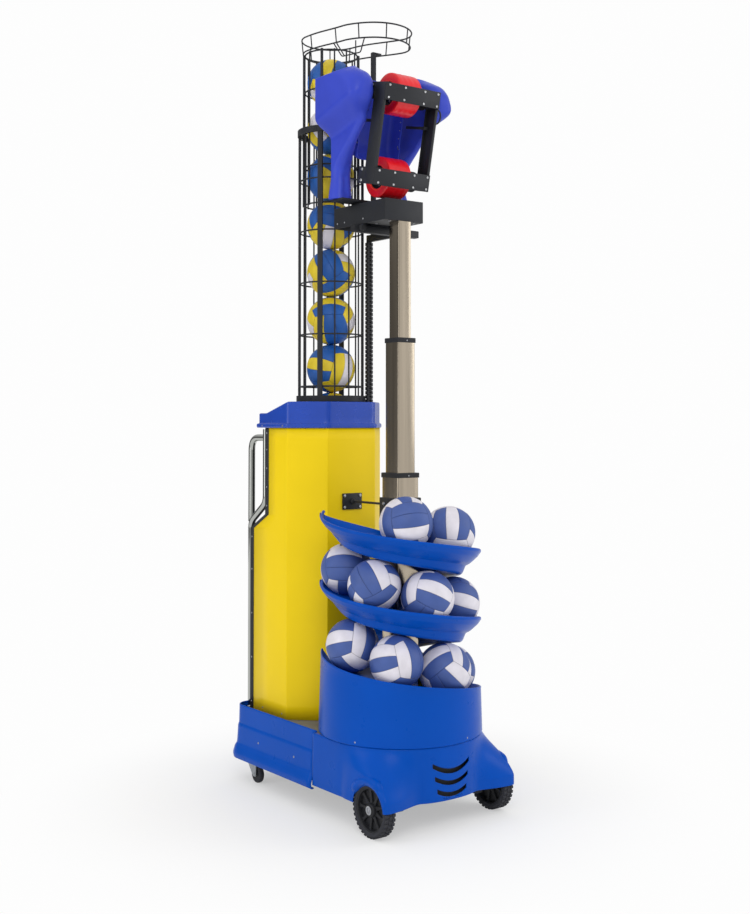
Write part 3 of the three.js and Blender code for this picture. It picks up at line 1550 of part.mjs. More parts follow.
// Cup under the ball column on an arm from the rail's sliding block
function ballLifter() {
  const top = columnBottomBall - ballDiameter / 2 - fit;
  const cup = rod(point(0, cageY, top - lifterCupHeight), point(0, cageY, top), lifterCupRadius, 28);
  const half = lifterRailWidth / 2 + fit;
  const outer = half + lifterCupHeight;
  const arm = block(0, lifterRailX, cageY - lifterArmWidth / 2, cageY + lifterArmWidth / 2,
    top - lifterBlockHeight, top - lifterCupHeight + fit);
  const blockBody = block(lifterRailX - outer, lifterRailX + outer, cageY - outer, cageY + outer,
    top - lifterBlockHeight, top - lifterCupHeight + fit);
  const bore = block(lifterRailX - half, lifterRailX + half, cageY - half, cageY + half,
    top - lifterBlockHeight - overrun, top + overrun);
  return cut(join(cup, arm, blockBody), bore);
}

function lifterMotor() {
  const half = lifterMotorSize / 2;
  const x = -lifterRailX + half / 2;
  return block(x - half, x + half, towerLowRearY - lifterMotorSize * 1.5, towerLowRearY - lifterMotorSize / 2,
    deckTop + fit, deckTop + fit + lifterMotorHeight);
}

function controlBox() {
  const half = controlBoxWidth / 2;
  const x = lifterRailX / 4;
  const rear = towerLowRearY + backPanDepth - sheet - fit;
  const low = deckTop + fit;
  return block(x - half, x + half, towerLowRearY - controlBoxDepth, rear, low, low + controlBoxHeight);
}

// A faceted ball with its axis along up and one corner of its girth facing outward
function ball(centre, up, outward, sides) {
  const geometry = new THREE.SphereGeometry(ballDiameter / 2, sides, 6);
  const across = new THREE.Vector3().crossVectors(outward, up).normalize();
  const frame = new THREE.Matrix4().makeBasis(outward, up, across);
  geometry.applyMatrix4(frame);
  geometry.translate(centre.x, centre.y, centre.z);
  return solid(geometry);
}

function ballColumn() {
  const balls = [];
  for (let i = 0; i < columnBalls; i++) {
    balls.push(ball(point(0, cageY, columnBottomBall + i * columnPitch), point(0, 0, 1), point(1, 0, 0), 8));
  }
  return join(...balls);
}

// Balls that lie against each other along a tray, from an angle downhill
function trayBalls(startHeight, firstAngle, count) {
  const balls = [];
  const slope = trayFall / (2 * Math.PI * ballTrackRadius);
  const step = 2 * Math.asin(ballPitch / Math.sqrt(1 + slope * slope) / 2 / ballTrackRadius);
  for (let i = 0; i < count; i++) {
    const turn = THREE.MathUtils.degToRad(firstAngle) + i * step;
    const degrees = THREE.MathUtils.radToDeg(turn);
    const floor = rimHeight(startHeight, degrees) - trayFloorDepth + trayWall / 2;
    const along = point(-Math.sin(turn), Math.cos(turn), -slope).normalize();
    const outward = point(Math.cos(turn), Math.sin(turn), 0);
    const up = new THREE.Vector3().crossVectors(outward, along).normalize();
    const foot = point(Math.cos(turn) * ballTrackRadius, mastY + Math.sin(turn) * ballTrackRadius, floor);
    balls.push(ball(foot.addScaledVector(up, ballDiameter / 2 + fit * 2), up, outward, 12));
  }
  return join(...balls);
}

addPart('chassis_frame', chassisFrame(), blackPaint);
addPart('deck_plate', deckPlate(), greySteel);
addPart('rear_skirt', rearSkirt(), mouldedBlue);
addPart('front_base_shell', frontBaseShell(), mouldedBlue);
addPart('ball_bucket', ballBucket(), mouldedBlue);
addPart('middle_ball_tray', ballTray(middleTrayRim), mouldedBlue);
addPart('top_ball_tray', ballTray(topTrayRim), mouldedBlue);
addPart('mast_outer', mastOuter(), stainless);
addPart('mast_sleeve', mastSleeve(), blackPaint);
addPart('lower_mast_collar', mastCollar(mastOuterWidth, mastMiddleWidth, mastOuterTop), blackPaint);
addPart('mast_middle', mastMiddle(), stainless);
addPart('upper_mast_collar', mastCollar(mastMiddleWidth, mastInnerWidth, mastMiddleTop), blackPaint);
addPart('mast_inner', mastInner(), stainless);
addPart('tower_shell', towerShell(), yellowPaint);
addPart('back_panel', backPanel(), blackPaint);
addPart('left_handle_tube', handleFrame(-1), chrome);
addPart('right_handle_tube', handleFrame(1), chrome);
addPart('top_cap', topCap(), capBlue);
addPart('cage_guide_ring', guideRing(), blackPaint);
addPart('cage_middle', cageMiddle(), blackPaint);
addPart('cage_upper', cageUpper(), blackPaint);
addPart('hoop_basket', hoopBasket(), blackPaint);
addPart('crossbeam', crossbeam(), blackPaint);
addPart('cage_bracket', cageBracket(), blackPaint);
addPart('clamp_knob', clampKnob(), blackPaint);
addPart('drag_chain', dragChain(), blackPaint);
addPart('yoke_base', yokeBase(), blackPaint);
addPart('left_yoke_cover', yokeCover(-1), headBlue);
addPart('right_yoke_cover', yokeCover(1), headBlue);
addPart('left_pitch_pin', pitchPin(-1), greySteel);
addPart('right_pitch_pin', pitchPin(1), greySteel);
addPart('head_frame', headFrame(), blackPaint);
addPart('ball_chute', ballChute(), headBlue);
addPart('upper_launch_wheel', launchWheel(launchWheelRise), redUrethane);
addPart('lower_launch_wheel', launchWheel(launchWheelFall), redUrethane);
addPart('upper_wheel_motor', launchMotor(launchWheelRise), blackPaint);
addPart('lower_wheel_motor', launchMotor(launchWheelFall), blackPaint);
addPart('head_cable', headCable(), blackRubber);
addPart('front_axle', frontAxle(), zinc);
addPart('left_front_wheel', frontWheel(-1), blackRubber);
addPart('right_front_wheel', frontWheel(1), blackRubber);
addPart('left_caster_plate', casterPlate(-1), zinc);
addPart('right_caster_plate', casterPlate(1), zinc);
addPart('left_caster_fork', casterYoke(-1), zinc);
addPart('right_caster_fork', casterYoke(1), zinc);
addPart('left_caster_wheel', casterWheel(-1), blackRubber);
addPart('right_caster_wheel', casterWheel(1), blackRubber);
addPart('brace_stay', braceStay(), blackPaint);
addPart('lifter_rail', lifterRail(), greySteel);
addPart('ball_lifter', ballLifter(), greySteel);
addPart('lifter_motor', lifterMotor(), greySteel);
addPart('control_box', controlBox(), blackPaint);
addPart('ball_column', ballColumn(), ballWhite);
addPart('top_tray_balls', trayBalls(topTrayRim, topBallAngle, 4), ballWhite);
addPart('middle_tray_balls', trayBalls(middleTrayRim, middleBallAngle, 5), ballWhite);
addPart('bucket_balls', trayBalls(bucketRim, bucketBallAngle, 5), ballWhite);

export default group;
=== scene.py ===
import math
import bmesh
import bpy
import numpy as np
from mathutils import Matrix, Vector


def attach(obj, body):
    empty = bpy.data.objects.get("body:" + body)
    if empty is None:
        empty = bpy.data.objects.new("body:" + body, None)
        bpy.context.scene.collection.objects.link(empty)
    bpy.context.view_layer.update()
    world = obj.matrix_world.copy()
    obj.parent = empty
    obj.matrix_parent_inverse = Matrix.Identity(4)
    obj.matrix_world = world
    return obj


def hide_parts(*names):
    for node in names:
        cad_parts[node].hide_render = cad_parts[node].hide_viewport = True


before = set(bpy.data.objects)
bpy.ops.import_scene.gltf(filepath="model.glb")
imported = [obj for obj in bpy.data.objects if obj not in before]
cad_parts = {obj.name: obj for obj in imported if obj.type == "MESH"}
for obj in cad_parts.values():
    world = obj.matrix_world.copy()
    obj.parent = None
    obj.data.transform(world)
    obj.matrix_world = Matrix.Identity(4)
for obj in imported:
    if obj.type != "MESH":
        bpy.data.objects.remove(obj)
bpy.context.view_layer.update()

tau = 2 * math.pi
bothSides = (-1, 1)
acrossX = (1, 0, 0)

# Every shape below is drawn in millimetres and turned into metres by makePiece

def arr(rows):
    return np.asarray(rows, dtype=float)

# S(t) = 3t^2 - 2t^3 between 0 and 1
def smoothStep(t):
    t = np.clip(t, 0, 1)
    return t * t * (3 - 2 * t)

# Rows and columns of points become quads; a cap closes an end row with a fan to its middle
def grid(points, closeRows=False, closeColumns=True, capStart=False, capEnd=False, smooth=True, m=0):
    points = arr(points)
    rows, cols = points.shape[:2]
    verts = points.reshape(-1, 3)
    rowCount = rows if closeRows else rows - 1
    colCount = cols if closeColumns else cols - 1
    i, j = np.meshgrid(np.arange(rowCount), np.arange(colCount), indexing="ij")
    nextI = (i + 1) % rows * cols
    nextJ = (j + 1) % cols
    faces = [np.stack([i * cols + j, i * cols + nextJ, nextI + nextJ, nextI + j], axis=-1).reshape(-1, 4)]
    for wanted, row, order in ((capStart, 0, -1), (capEnd, rows - 1, 1)):
        if wanted:
            a = row * cols + np.arange(cols)
            b = row * cols + (np.arange(cols) + 1) % cols
            faces.append(np.stack([a, b, np.full(cols, len(verts))], axis=-1)[:, ::order])
            verts = np.vstack([verts, points[row].mean(axis=0)])
    return {"v": verts, "f": faces, "smooth": smooth, "m": m}

# The same grid with both its end rows closed
def capped(points, **rest):
    return grid(points, capStart=True, capEnd=True, **rest)

# Every point plus one offset
def moved(chunk, offset):
    return dict(chunk, v=chunk["v"] + arr(offset))

# Mirrors a chunk across the middle plane
def mirrored(chunk):
    return dict(chunk, v=chunk["v"] * arr([-1, 1, 1]), f=[f[:, ::-1] for f in chunk["f"]])

# Turns a chunk about the X axis through a point
def turnedX(chunk, degrees, y=0, z=0):
    a = math.radians(degrees)
    v = chunk["v"] - arr([0, y, z])
    out = v.copy()
    out[:, 1] = v[:, 1] * math.cos(a) - v[:, 2] * math.sin(a) + y
    out[:, 2] = v[:, 1] * math.sin(a) + v[:, 2] * math.cos(a) + z
    return dict(chunk, v=out)

# A round section carried along a path without twist
def tube(path, radius, sides=12, closed=False, m=0):
    path = arr(path)
    before = np.roll(path, 1, axis=0)
    after = np.roll(path, -1, axis=0)
    if not closed:
        before[0] = path[0]
        after[-1] = path[-1]
    tangents = after - before
    tangents /= np.linalg.norm(tangents, axis=1)[:, None]
    normal = arr([0, 0, 1]) if abs(tangents[0, 2]) < 0.9 else arr([1, 0, 0])
    normals = []
    for tangent in tangents:
        normal = normal - tangent * normal.dot(tangent)
        normal = normal / np.linalg.norm(normal)
        normals.append(normal)
    turn = np.arange(sides) / sides * tau
    across = np.cross(tangents, arr(normals))[:, None] * np.cos(turn)[None, :, None]
    along = arr(normals)[:, None] * np.sin(turn)[None, :, None]
    rows = path[:, None] + (across + along) * radius
    return grid(rows, closeRows=closed, capStart=not closed, capEnd=not closed, m=m)

# A straight round bar between two points
def rod(a, b, radius, sides=12):
    return tube([a, b], radius, sides)

# A polyline whose corners are rounded by arcs of the given easing
def rounded(points, ease, steps=6, closed=False):
    points = arr(points)
    n = len(points)
    out = []
    for k, corner in enumerate(points):
        if not closed and k in (0, n - 1):
            out.append(corner)
            continue
        a = points[k - 1] - corner
        b = points[(k + 1) % n] - corner
        lengthA, lengthB = np.linalg.norm(a), np.linalg.norm(b)
        e = min(ease[k] if hasattr(ease, "__len__") else ease, lengthA * 0.49, lengthB * 0.49)
        start = corner + a / lengthA * e
        end = corner + b / lengthB * e
        for t in np.linspace(0, 1, steps + 1):
            out.append((1 - t) ** 2 * start + 2 * t * (1 - t) * corner + t * t * end)
    return arr(out)

# A rectangle about the origin, its corners rounded
def roundedRectangle(halfX, halfY, ease, steps):
    corners = [(-halfX, -halfY), (halfX, -halfY), (halfX, halfY), (-halfX, halfY)]
    return rounded(corners, ease, steps, closed=True)

# The same outline with its points spread evenly, so rings of any shape can be joined
def evenly(ring, count):
    ring = np.vstack([ring, ring[:1]])
    along = np.concatenate([[0], np.cumsum(np.linalg.norm(np.diff(ring, axis=0), axis=1))])
    want = np.linspace(0, along[-1], count, endpoint=False)
    return np.stack([np.interp(want, along, column) for column in ring.T], axis=-1)

# Four quarter circles round: the side of each corner in X and Y, and the turn of each point
def cornerTurns(steps):
    quarter = np.repeat(np.arange(4), steps + 1)
    lon = (quarter + np.tile(np.arange(steps + 1) / steps, 4)) * math.pi / 2
    return np.where(quarter % 3 == 0, 1, -1), np.where(quarter < 2, 1, -1), lon

# A box with rounded edges: four corner arcs round, and rows that run over the top and bottom edges
def roundBox(lo, hi, r=2.0, steps=2, m=0):
    lo, hi = arr(lo), arr(hi)
    r = min(r, *(0.49 * (hi - lo)))
    centre = (lo + hi) / 2
    half = (hi - lo) / 2 - r
    share = np.arange(steps + 1) / steps
    lat = (np.concatenate([share - 1, share]) * math.pi / 2)[:, None]
    side = np.repeat(bothSides, steps + 1)[:, None]
    signX, signY, lon = cornerTurns(steps)
    flat = r * np.cos(lat)
    x = centre[0] + half[0] * signX + flat * np.cos(lon)
    y = centre[1] + half[1] * signY + flat * np.sin(lon)
    z = centre[2] + half[2] * side + r * np.sin(lat) + lon * 0
    return capped(np.stack([x, y, z], axis=-1), m=m)

# A rounded box given for the right side, or its mirror for the left
def sideBox(side, lo, hi, r, m=0):
    x0, x1 = sorted((side * lo[0], side * hi[0]))
    return roundBox((x0, *lo[1:]), (x1, *hi[1:]), r, m=m)

# A profile of radius and height pairs turned about an axis through a point
def revolve(profile, origin=(0, 0, 0), axis=(0, 0, 1), sides=48, closed=True, m=0, smooth=True):
    axis = arr(axis) / np.linalg.norm(axis)
    helper = arr([0, 0, 1]) if abs(axis[2]) < 0.9 else arr([1, 0, 0])
    u = np.cross(helper, axis)
    u /= np.linalg.norm(u)
    w = np.cross(axis, u)
    turn = np.arange(sides) / sides * tau
    profile = arr(profile)
    ring = np.cos(turn)[:, None] * u + np.sin(turn)[:, None] * w
    rows = arr(origin) + profile[:, 0][:, None, None] * ring[None] + profile[:, 1][:, None, None] * axis
    return grid(rows, closeRows=closed, capStart=not closed, capEnd=not closed, m=m, smooth=smooth)

# A round bar or disc with eased edges, solid to its axis
def disc(radius, low, high, ease, origin, axis=(0, 0, 1), sides=48, m=0):
    profile = [[0.05, low], [radius - ease, low], [radius, low + ease]]
    profile += [[radius, high - ease], [radius - ease, high], [0.05, high]]
    return revolve(profile, origin, axis, sides, closed=False, m=m)

# A domed screw head, or a rivet without its socket, pointing along a direction
def screwHead(at, direction, radius=3.2, height=1.6, socket=True, sides=14):
    r, h = radius, height
    profile = [[r, -0.4], [r, h * 0.45], [r * 0.86, h * 0.8], [r * 0.62, h]]
    if socket:
        profile += [[r * 0.42, h], [r * 0.4, h * 0.35], [r * 0.02, h * 0.3]]
    else:
        profile += [[r * 0.3, h * 1.05], [r * 0.02, h * 1.08]]
    return revolve(profile, at, direction, sides, closed=False)

# A hexagon head bolt with its washer
def hexBolt(at, direction, size=5.0, height=3.4, m=0):
    top = 1.1 + height
    rim = [[size * 1.25, -0.4], [size * 1.25, 0.9], [size * 1.18, 1.1], [0.05, 1.1]]
    crown = [[size * 0.98, 1.0], [size, 1.3], [size, top - 0.5], [size * 0.88, top], [0.05, top]]
    washer = revolve(rim, at, direction, 20, closed=False, m=m)
    return [washer, revolve(crown, at, direction, 6, closed=False, m=m, smooth=False)]

# An outline in Y and Z carried from one X to another, with its edges eased by one small step
def plateX(outline, x0, x1, bevel=0.6):
    outline = arr(outline)
    middle = outline.mean(axis=0)
    span = np.linalg.norm(outline - middle, axis=1).max()
    shrunk = middle + (outline - middle) * (1 - bevel / span)
    rows = [np.column_stack([np.full(len(ring), x), ring])
            for ring, x in ((shrunk, x0), (outline, x0 + bevel), (outline, x1 - bevel), (shrunk, x1))]
    return capped(rows, smooth=False)

# Joins chunks into one mesh object that rides on a body; looks names one finish, or one per material number
def makePiece(name, body, chunks, looks, replaces=(), sharp=32, weld=True, seams=None, tints=None):
    flat = []
    for chunk in chunks:
        flat.extend(chunk if isinstance(chunk, list) else [chunk])
    verts, loops, starts, numbers, smooths = [], [], [], [], []
    offset = loopCount = 0
    for chunk in flat:
        verts.append(chunk["v"])
        for faces in chunk["f"]:
            loops.append((faces + offset).reshape(-1))
            starts.append(loopCount + np.arange(len(faces)) * faces.shape[1])
            numbers.append(np.full(len(faces), chunk["m"]))
            smooths.append(np.full(len(faces), chunk["smooth"]))
            loopCount += faces.size
        offset += len(chunk["v"])
    starts = np.concatenate(starts).astype(np.int32)
    mesh = bpy.data.meshes.new(name)
    mesh.vertices.add(offset)
    mesh.vertices.foreach_set("co", (np.vstack(verts) * 0.001).reshape(-1))
    mesh.loops.add(loopCount)
    mesh.loops.foreach_set("vertex_index", np.concatenate(loops).astype(np.int32))
    mesh.polygons.add(len(starts))
    mesh.polygons.foreach_set("loop_start", starts)
    mesh.polygons.foreach_set("material_index", np.concatenate(numbers).astype(np.int32))
    mesh.polygons.foreach_set("use_smooth", np.concatenate(smooths))
    mesh.update(calc_edges=True)
    mesh.validate()
    if weld:
        outwardNormals(mesh)
    if sharp:
        mesh.set_sharp_from_angle(angle=math.radians(sharp))
    if seams is not None:
        layer = mesh.attributes.new("seam", "FLOAT", "POINT")
        layer.data.foreach_set("value", seams.astype(np.float32))
    if tints is not None:
        layer = mesh.attributes.new("panelTint", "FLOAT_VECTOR", "FACE")
        layer.data.foreach_set("vector", tints.astype(np.float32).reshape(-1))
    piece = bpy.data.objects.new(name, mesh)
    bpy.context.scene.collection.objects.link(piece)
    looks = [looks] if isinstance(looks, str) else looks
    for look in looks:
        mesh.materials.append(materials[look])
    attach(piece, body)
    if replaces:
        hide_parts(*replaces)
    return piece

# Turns every island's faces to point out of it
def outwardNormals(mesh):
    work = bmesh.new()
    work.from_mesh(mesh)
    bmesh.ops.remove_doubles(work, verts=work.verts, dist=1e-6)
    bmesh.ops.recalc_face_normals(work, faces=work.faces)
    work.to_mesh(mesh)
    work.free()
    mesh.update()

# Gives an open surface the wall of a moulding or a sheet
def thicken(piece, depth):
    wall = piece.modifiers.new("wall", "SOLIDIFY")
    wall.thickness = depth * 0.001
    wall.offset = -1
    wall.use_even_offset = False

# Materials

# Each input is set to a constant, or linked where a socket is given
def feed(tree, made, inputs):
    for key, value in inputs.items():
        if isinstance(value, bpy.types.NodeSocket):
            tree.links.new(value, made.inputs[key])
        else:
            made.inputs[key].default_value = value

# A new node with its settings made first, because they decide which inputs it has
def node(tree, kind, inputs=None, **settings):
    made = tree.nodes.new(kind)
    for key, value in settings.items():
        setattr(made, key, value)
    feed(tree, made, inputs or {})
    return made

# Cloudy noise between 0 and 1 at a place
def noise(tree, place, scale, detail):
    inputs = {"Vector": place, "Scale": scale, "Detail": detail}
    return node(tree, "ShaderNodeTexNoise", inputs).outputs["Fac"]

# A value carried from one range onto another, in a straight line unless another kind is named
def mapRange(tree, value, fromMin, fromMax, toMin, toMax, kind="LINEAR"):
    inputs = {"Value": value, "From Min": fromMin, "From Max": fromMax, "To Min": toMin, "To Max": toMax}
    return node(tree, "ShaderNodeMapRange", inputs, interpolation_type=kind).outputs["Result"]

def maths(tree, operation, a, b):
    return node(tree, "ShaderNodeMath", {0: a, 1: b}, operation=operation).outputs["Value"]

# Colour = a + share * (b - a)
def mixColour(tree, share, a, b):
    return node(tree, "ShaderNodeMix", {"Factor": share, 6: a, 7: b}, data_type="RGBA").outputs[2]

# The normal tilted by the slope of a height
def relief(tree, height, strength, depth):
    inputs = {"Height": height, "Strength": strength, "Distance": depth}
    return node(tree, "ShaderNodeBump", inputs).outputs["Normal"]

# A new material, its node tree and its main shader
def newMaterial(name):
    material = bpy.data.materials.new(name)
    material.use_nodes = True
    return material, material.node_tree, material.node_tree.nodes["Principled BSDF"]

# Linear colour of an sRGB triple in 0 to 255
def colour(r, g, b):
    return tuple((c / 255 / 12.92 if c <= 10 else ((c / 255 + 0.055) / 1.055) ** 2.4) for c in (r, g, b)) + (1.0,)

# A shader node group with named sockets: gives its tree, its input sockets and the node that takes its outputs
def newGroup(name, takes, gives):
    tree = bpy.data.node_groups.new(name, "ShaderNodeTree")
    for way, sockets in (("INPUT", takes), ("OUTPUT", gives)):
        for socket, kind in sockets.items():
            tree.interface.new_socket(socket, in_out=way, socket_type="NodeSocket" + kind)
    return tree, node(tree, "NodeGroupInput").outputs, node(tree, "NodeGroupOutput")

# Colour = base * tone, where tone runs from darkest to lightest with cloudy noise; the clouds go out as a mask too
def mottleGroup():
    takes = {"Place": "Vector", "Base": "Vector", "Scale": "Float", "Darkest": "Float", "Lightest": "Float"}
    tree, given, out = newGroup("mottle", takes, {"Colour": "Vector", "Clouds": "Float"})
    clouds = noise(tree, given["Place"], given["Scale"], 5.0)
    tone = mapRange(tree, clouds, 0.3, 0.7, given["Darkest"], given["Lightest"])
    inputs = {0: given["Base"], "Scale": tone}
    tint = node(tree, "ShaderNodeVectorMath", inputs, operation="SCALE").outputs["Vector"]
    feed(tree, out, {"Colour": tint, "Clouds": clouds})
    return tree

# Roughness runs from smoothest to roughest with a finer noise
def wearGroup():
    takes = {"Place": "Vector", "Scale": "Float", "Smoothest": "Float", "Roughest": "Float"}
    tree, given, out = newGroup("wear", takes, {"Roughness": "Float"})
    wear = noise(tree, given["Place"], given["Scale"], 6.0)
    feed(tree, out, {"Roughness": mapRange(tree, wear, 0.0, 1.0, given["Smoothest"], given["Roughest"])})
    return tree

# The normal is tilted by very fine noise, as paint, moulded plastic and brushed steel are
def grainGroup():
    takes = {"Place": "Vector", "Scale": "Float", "Strength": "Float", "Depth": "Float"}
    tree, given, out = newGroup("grain", takes, {"Normal": "Vector"})
    height = noise(tree, given["Place"], given["Scale"], 3.0)
    feed(tree, out, {"Normal": relief(tree, height, given["Strength"], given["Depth"])})
    return tree

# Share of dust = amount * clouds * how far the face looks up, from none at a normal's height of 0.3
def dustGroup():
    takes = {"Colour": "Color", "Dust": "Color", "Amount": "Float", "Clouds": "Float"}
    tree, given, out = newGroup("dust", takes, {"Colour": "Color"})
    normal = node(tree, "ShaderNodeNewGeometry").outputs["Normal"]
    upward = node(tree, "ShaderNodeSeparateXYZ", {"Vector": normal}).outputs["Z"]
    settled = mapRange(tree, upward, 0.3, 1.0, 0.0, given["Amount"])
    share = maths(tree, "MULTIPLY", settled, given["Clouds"])
    feed(tree, out, {"Colour": mixColour(tree, share, given["Colour"], given["Dust"])})
    return tree

effects = {tree.name: tree for tree in (mottleGroup(), wearGroup(), grainGroup(), dustGroup())}
dustColour = (200, 200, 205)

# Places one of the groups in a material with its own values
def effect(tree, name, inputs):
    return node(tree, "ShaderNodeGroup", inputs, node_tree=effects[name]).outputs

# One procedural finish: mottled colour, worn roughness and fine grain, with dust on top where it's given
def finish(name, base, rough, metal=0.0, mottle=0.08, mottleScale=9.0, roughSpread=0.08, bump=0.12,
           bumpScale=900.0, bumpDepth=0.0004, stretch=(1, 1, 1), coat=0.0, specular=0.5, dust=0.0):
    material, tree, shader = newMaterial(name)
    place = node(tree, "ShaderNodeTexCoord").outputs["Object"]
    place = node(tree, "ShaderNodeMapping", {"Vector": place, "Scale": stretch}).outputs["Vector"]
    mottled = effect(tree, "mottle", {"Place": place, "Base": colour(*base)[:3], "Scale": mottleScale,
                                      "Darkest": 1 - mottle, "Lightest": 1 + mottle})
    tint = mottled["Colour"]
    if dust:
        tint = effect(tree, "dust", {"Colour": tint, "Dust": colour(*dustColour), "Amount": dust,
                                     "Clouds": mottled["Clouds"]})["Colour"]
    worn = effect(tree, "wear", {"Place": place, "Scale": mottleScale * 4,
                                 "Smoothest": max(0.02, rough - roughSpread),
                                 "Roughest": min(1.0, rough + roughSpread)})
    grained = effect(tree, "grain", {"Place": place, "Scale": bumpScale, "Strength": bump, "Depth": bumpDepth})
    feed(tree, shader, {
        "Base Color": tint, "Metallic": metal, "Specular IOR Level": specular, "Roughness": worn["Roughness"],
        "Normal": grained["Normal"], "Coat Weight": coat, "Coat Roughness": 0.1})
    return material

# What each finish looks like, and the record's slot that it belongs to
finishes = {
    "mouldedBlue": {"slot": "moulded_blue", "base": (0, 77, 180), "rough": 0.3, "mottle": 0.05, "mottleScale": 4,
                    "bump": 0.2, "bumpScale": 420, "specular": 0.1},
    "headBlue": {"slot": "head_blue", "base": (56, 74, 196), "rough": 0.34, "mottle": 0.06, "mottleScale": 6,
                 "bump": 0.25, "bumpScale": 420, "specular": 0.22},
    "capBlue": {"slot": "cap_blue", "base": (26, 70, 176), "rough": 0.26, "mottle": 0.06, "mottleScale": 6,
                "bump": 0.2, "bumpScale": 420, "specular": 0.45},
    "yellowPaint": {"slot": "yellow_paint", "base": (246, 212, 6), "rough": 0.42, "mottle": 0.03,
                    "mottleScale": 2.5, "bump": 0.35, "bumpScale": 1500, "bumpDepth": 0.0002, "specular": 0.22},
    "blackPaint": {"slot": "black_paint", "base": (34, 36, 41), "rough": 0.5, "mottle": 0.14, "mottleScale": 8,
                   "bump": 0.5, "bumpScale": 1600, "bumpDepth": 0.0003, "specular": 0.35, "dust": 0.06},
    "blackPlastic": {"slot": "black_plastic", "base": (33, 34, 38), "rough": 0.55, "mottle": 0.1,
                     "mottleScale": 12, "bump": 0.3, "specular": 0.3},
    "rubberBlack": {"slot": "black_tyre", "base": (50, 51, 57), "rough": 0.8, "mottle": 0.15, "mottleScale": 14,
                    "bump": 0.6, "bumpScale": 700, "bumpDepth": 0.0006, "specular": 0.3, "dust": 0.15},
    "stainless": {"slot": "stainless", "base": (182, 170, 152), "rough": 0.16, "metal": 1.0, "mottle": 0.22,
                  "mottleScale": 26, "bump": 0.2, "bumpScale": 420, "bumpDepth": 0.0002, "stretch": (1, 1, 0.03)},
    "chrome": {"slot": "chrome", "base": (176, 178, 174), "rough": 0.07, "metal": 1.0, "mottle": 0.05,
               "mottleScale": 5, "bump": 0.05, "bumpScale": 90, "bumpDepth": 0.0001, "roughSpread": 0.02},
    "zinc": {"slot": "zinc", "base": (176, 178, 182), "rough": 0.34, "metal": 1.0, "mottle": 0.14,
             "mottleScale": 26, "bump": 0.4, "bumpScale": 700, "bumpDepth": 0.0002},
    "greySteel": {"slot": "grey_steel", "base": (150, 152, 156), "rough": 0.36, "metal": 1.0, "mottle": 0.1,
                  "mottleScale": 18, "bump": 0.3, "bumpScale": 500, "bumpDepth": 0.0002, "stretch": (1, 0.1, 1)},
    "redUrethane": {"slot": "red_urethane", "base": (236, 4, 24), "rough": 0.36, "mottle": 0.05,
                    "mottleScale": 14, "bump": 0.35, "bumpDepth": 0.0003, "coat": 0.15},
    "redRim": {"slot": "red_urethane", "base": (240, 96, 20), "rough": 0.4, "mottle": 0.06, "mottleScale": 20,
               "bump": 0.3, "bumpScale": 800},
    "paleSteel": {"slot": "zinc", "base": (205, 206, 208), "rough": 0.3, "metal": 1.0, "mottle": 0.08,
                  "mottleScale": 30, "bump": 0.25, "bumpDepth": 0.0002},
    "deckGrey": {"slot": "grey_steel", "base": (118, 116, 112), "rough": 0.55, "mottle": 0.12, "mottleScale": 12,
                 "bump": 0.4, "bumpScale": 800, "bumpDepth": 0.0002, "specular": 0.3, "dust": 0.1},
    "galvanised": {"slot": "zinc", "base": (158, 162, 166), "rough": 0.42, "metal": 0.8, "mottle": 0.16,
                   "mottleScale": 14, "bump": 0.3, "bumpScale": 300, "bumpDepth": 0.0003},
}
materials = {name: finish(name, **{key: value for key, value in values.items() if key != "slot"})
             for name, values in finishes.items()}

# A ball's skin: leather grain, smudges and dark seams; its panel colour is read from the mesh
def ballSkin(name):
    material, tree, shader = newMaterial(name)
    tint = node(tree, "ShaderNodeAttribute", attribute_name="panelTint").outputs["Vector"]
    seam = node(tree, "ShaderNodeAttribute", attribute_name="seam").outputs["Fac"]
    place = node(tree, "ShaderNodeTexCoord").outputs["Object"]
    smudge = noise(tree, place, 22.0, 6.0)
    soft = mapRange(tree, smudge, 0.25, 0.75, 0.86, 1.04)
    shade = maths(tree, "MULTIPLY", soft, mapRange(tree, seam, 0.0, 1.0, 1.0, 0.45))
    tint = node(tree, "ShaderNodeVectorMath", {0: tint, "Scale": shade}, operation="SCALE").outputs["Vector"]
    grain = node(tree, "ShaderNodeTexVoronoi", {"Vector": place, "Scale": 620.0}).outputs["Distance"]
    feed(tree, shader, {
        "Base Color": tint,
        "Roughness": mapRange(tree, smudge, 0.0, 1.0, 0.42, 0.6), "Normal": relief(tree, grain, 0.3, 0.0004)})
    return material

finishes["ballLeather"] = {"slot": "ball_leather"}
materials["ballLeather"] = ballSkin("ballLeather")
print("materials ready")

# Camera, light and backdrop, in metres

view = {"place": (-3.1107, -4.1965, 1.5429), "azimuth": -37.3, "pitch": 1.64, "lens": 49.31, "sensor": 36,
        "shiftX": -0.0066, "shiftY": -0.0788, "far": 60}

def makeCamera():
    data = bpy.data.cameras.new("camera")
    camera = bpy.data.objects.new("camera", data)
    bpy.context.scene.collection.objects.link(camera)
    camera.location = view["place"]
    camera.rotation_mode = "XYZ"
    camera.rotation_euler = (math.radians(90 + view["pitch"]), 0, math.radians(view["azimuth"]))
    data.lens = view["lens"]
    data.sensor_width = view["sensor"]
    data.shift_x = view["shiftX"]
    data.shift_y = view["shiftY"]
    data.clip_end = view["far"]
    bpy.context.scene.camera = camera
    bpy.context.scene.view_settings.view_transform = "Standard"

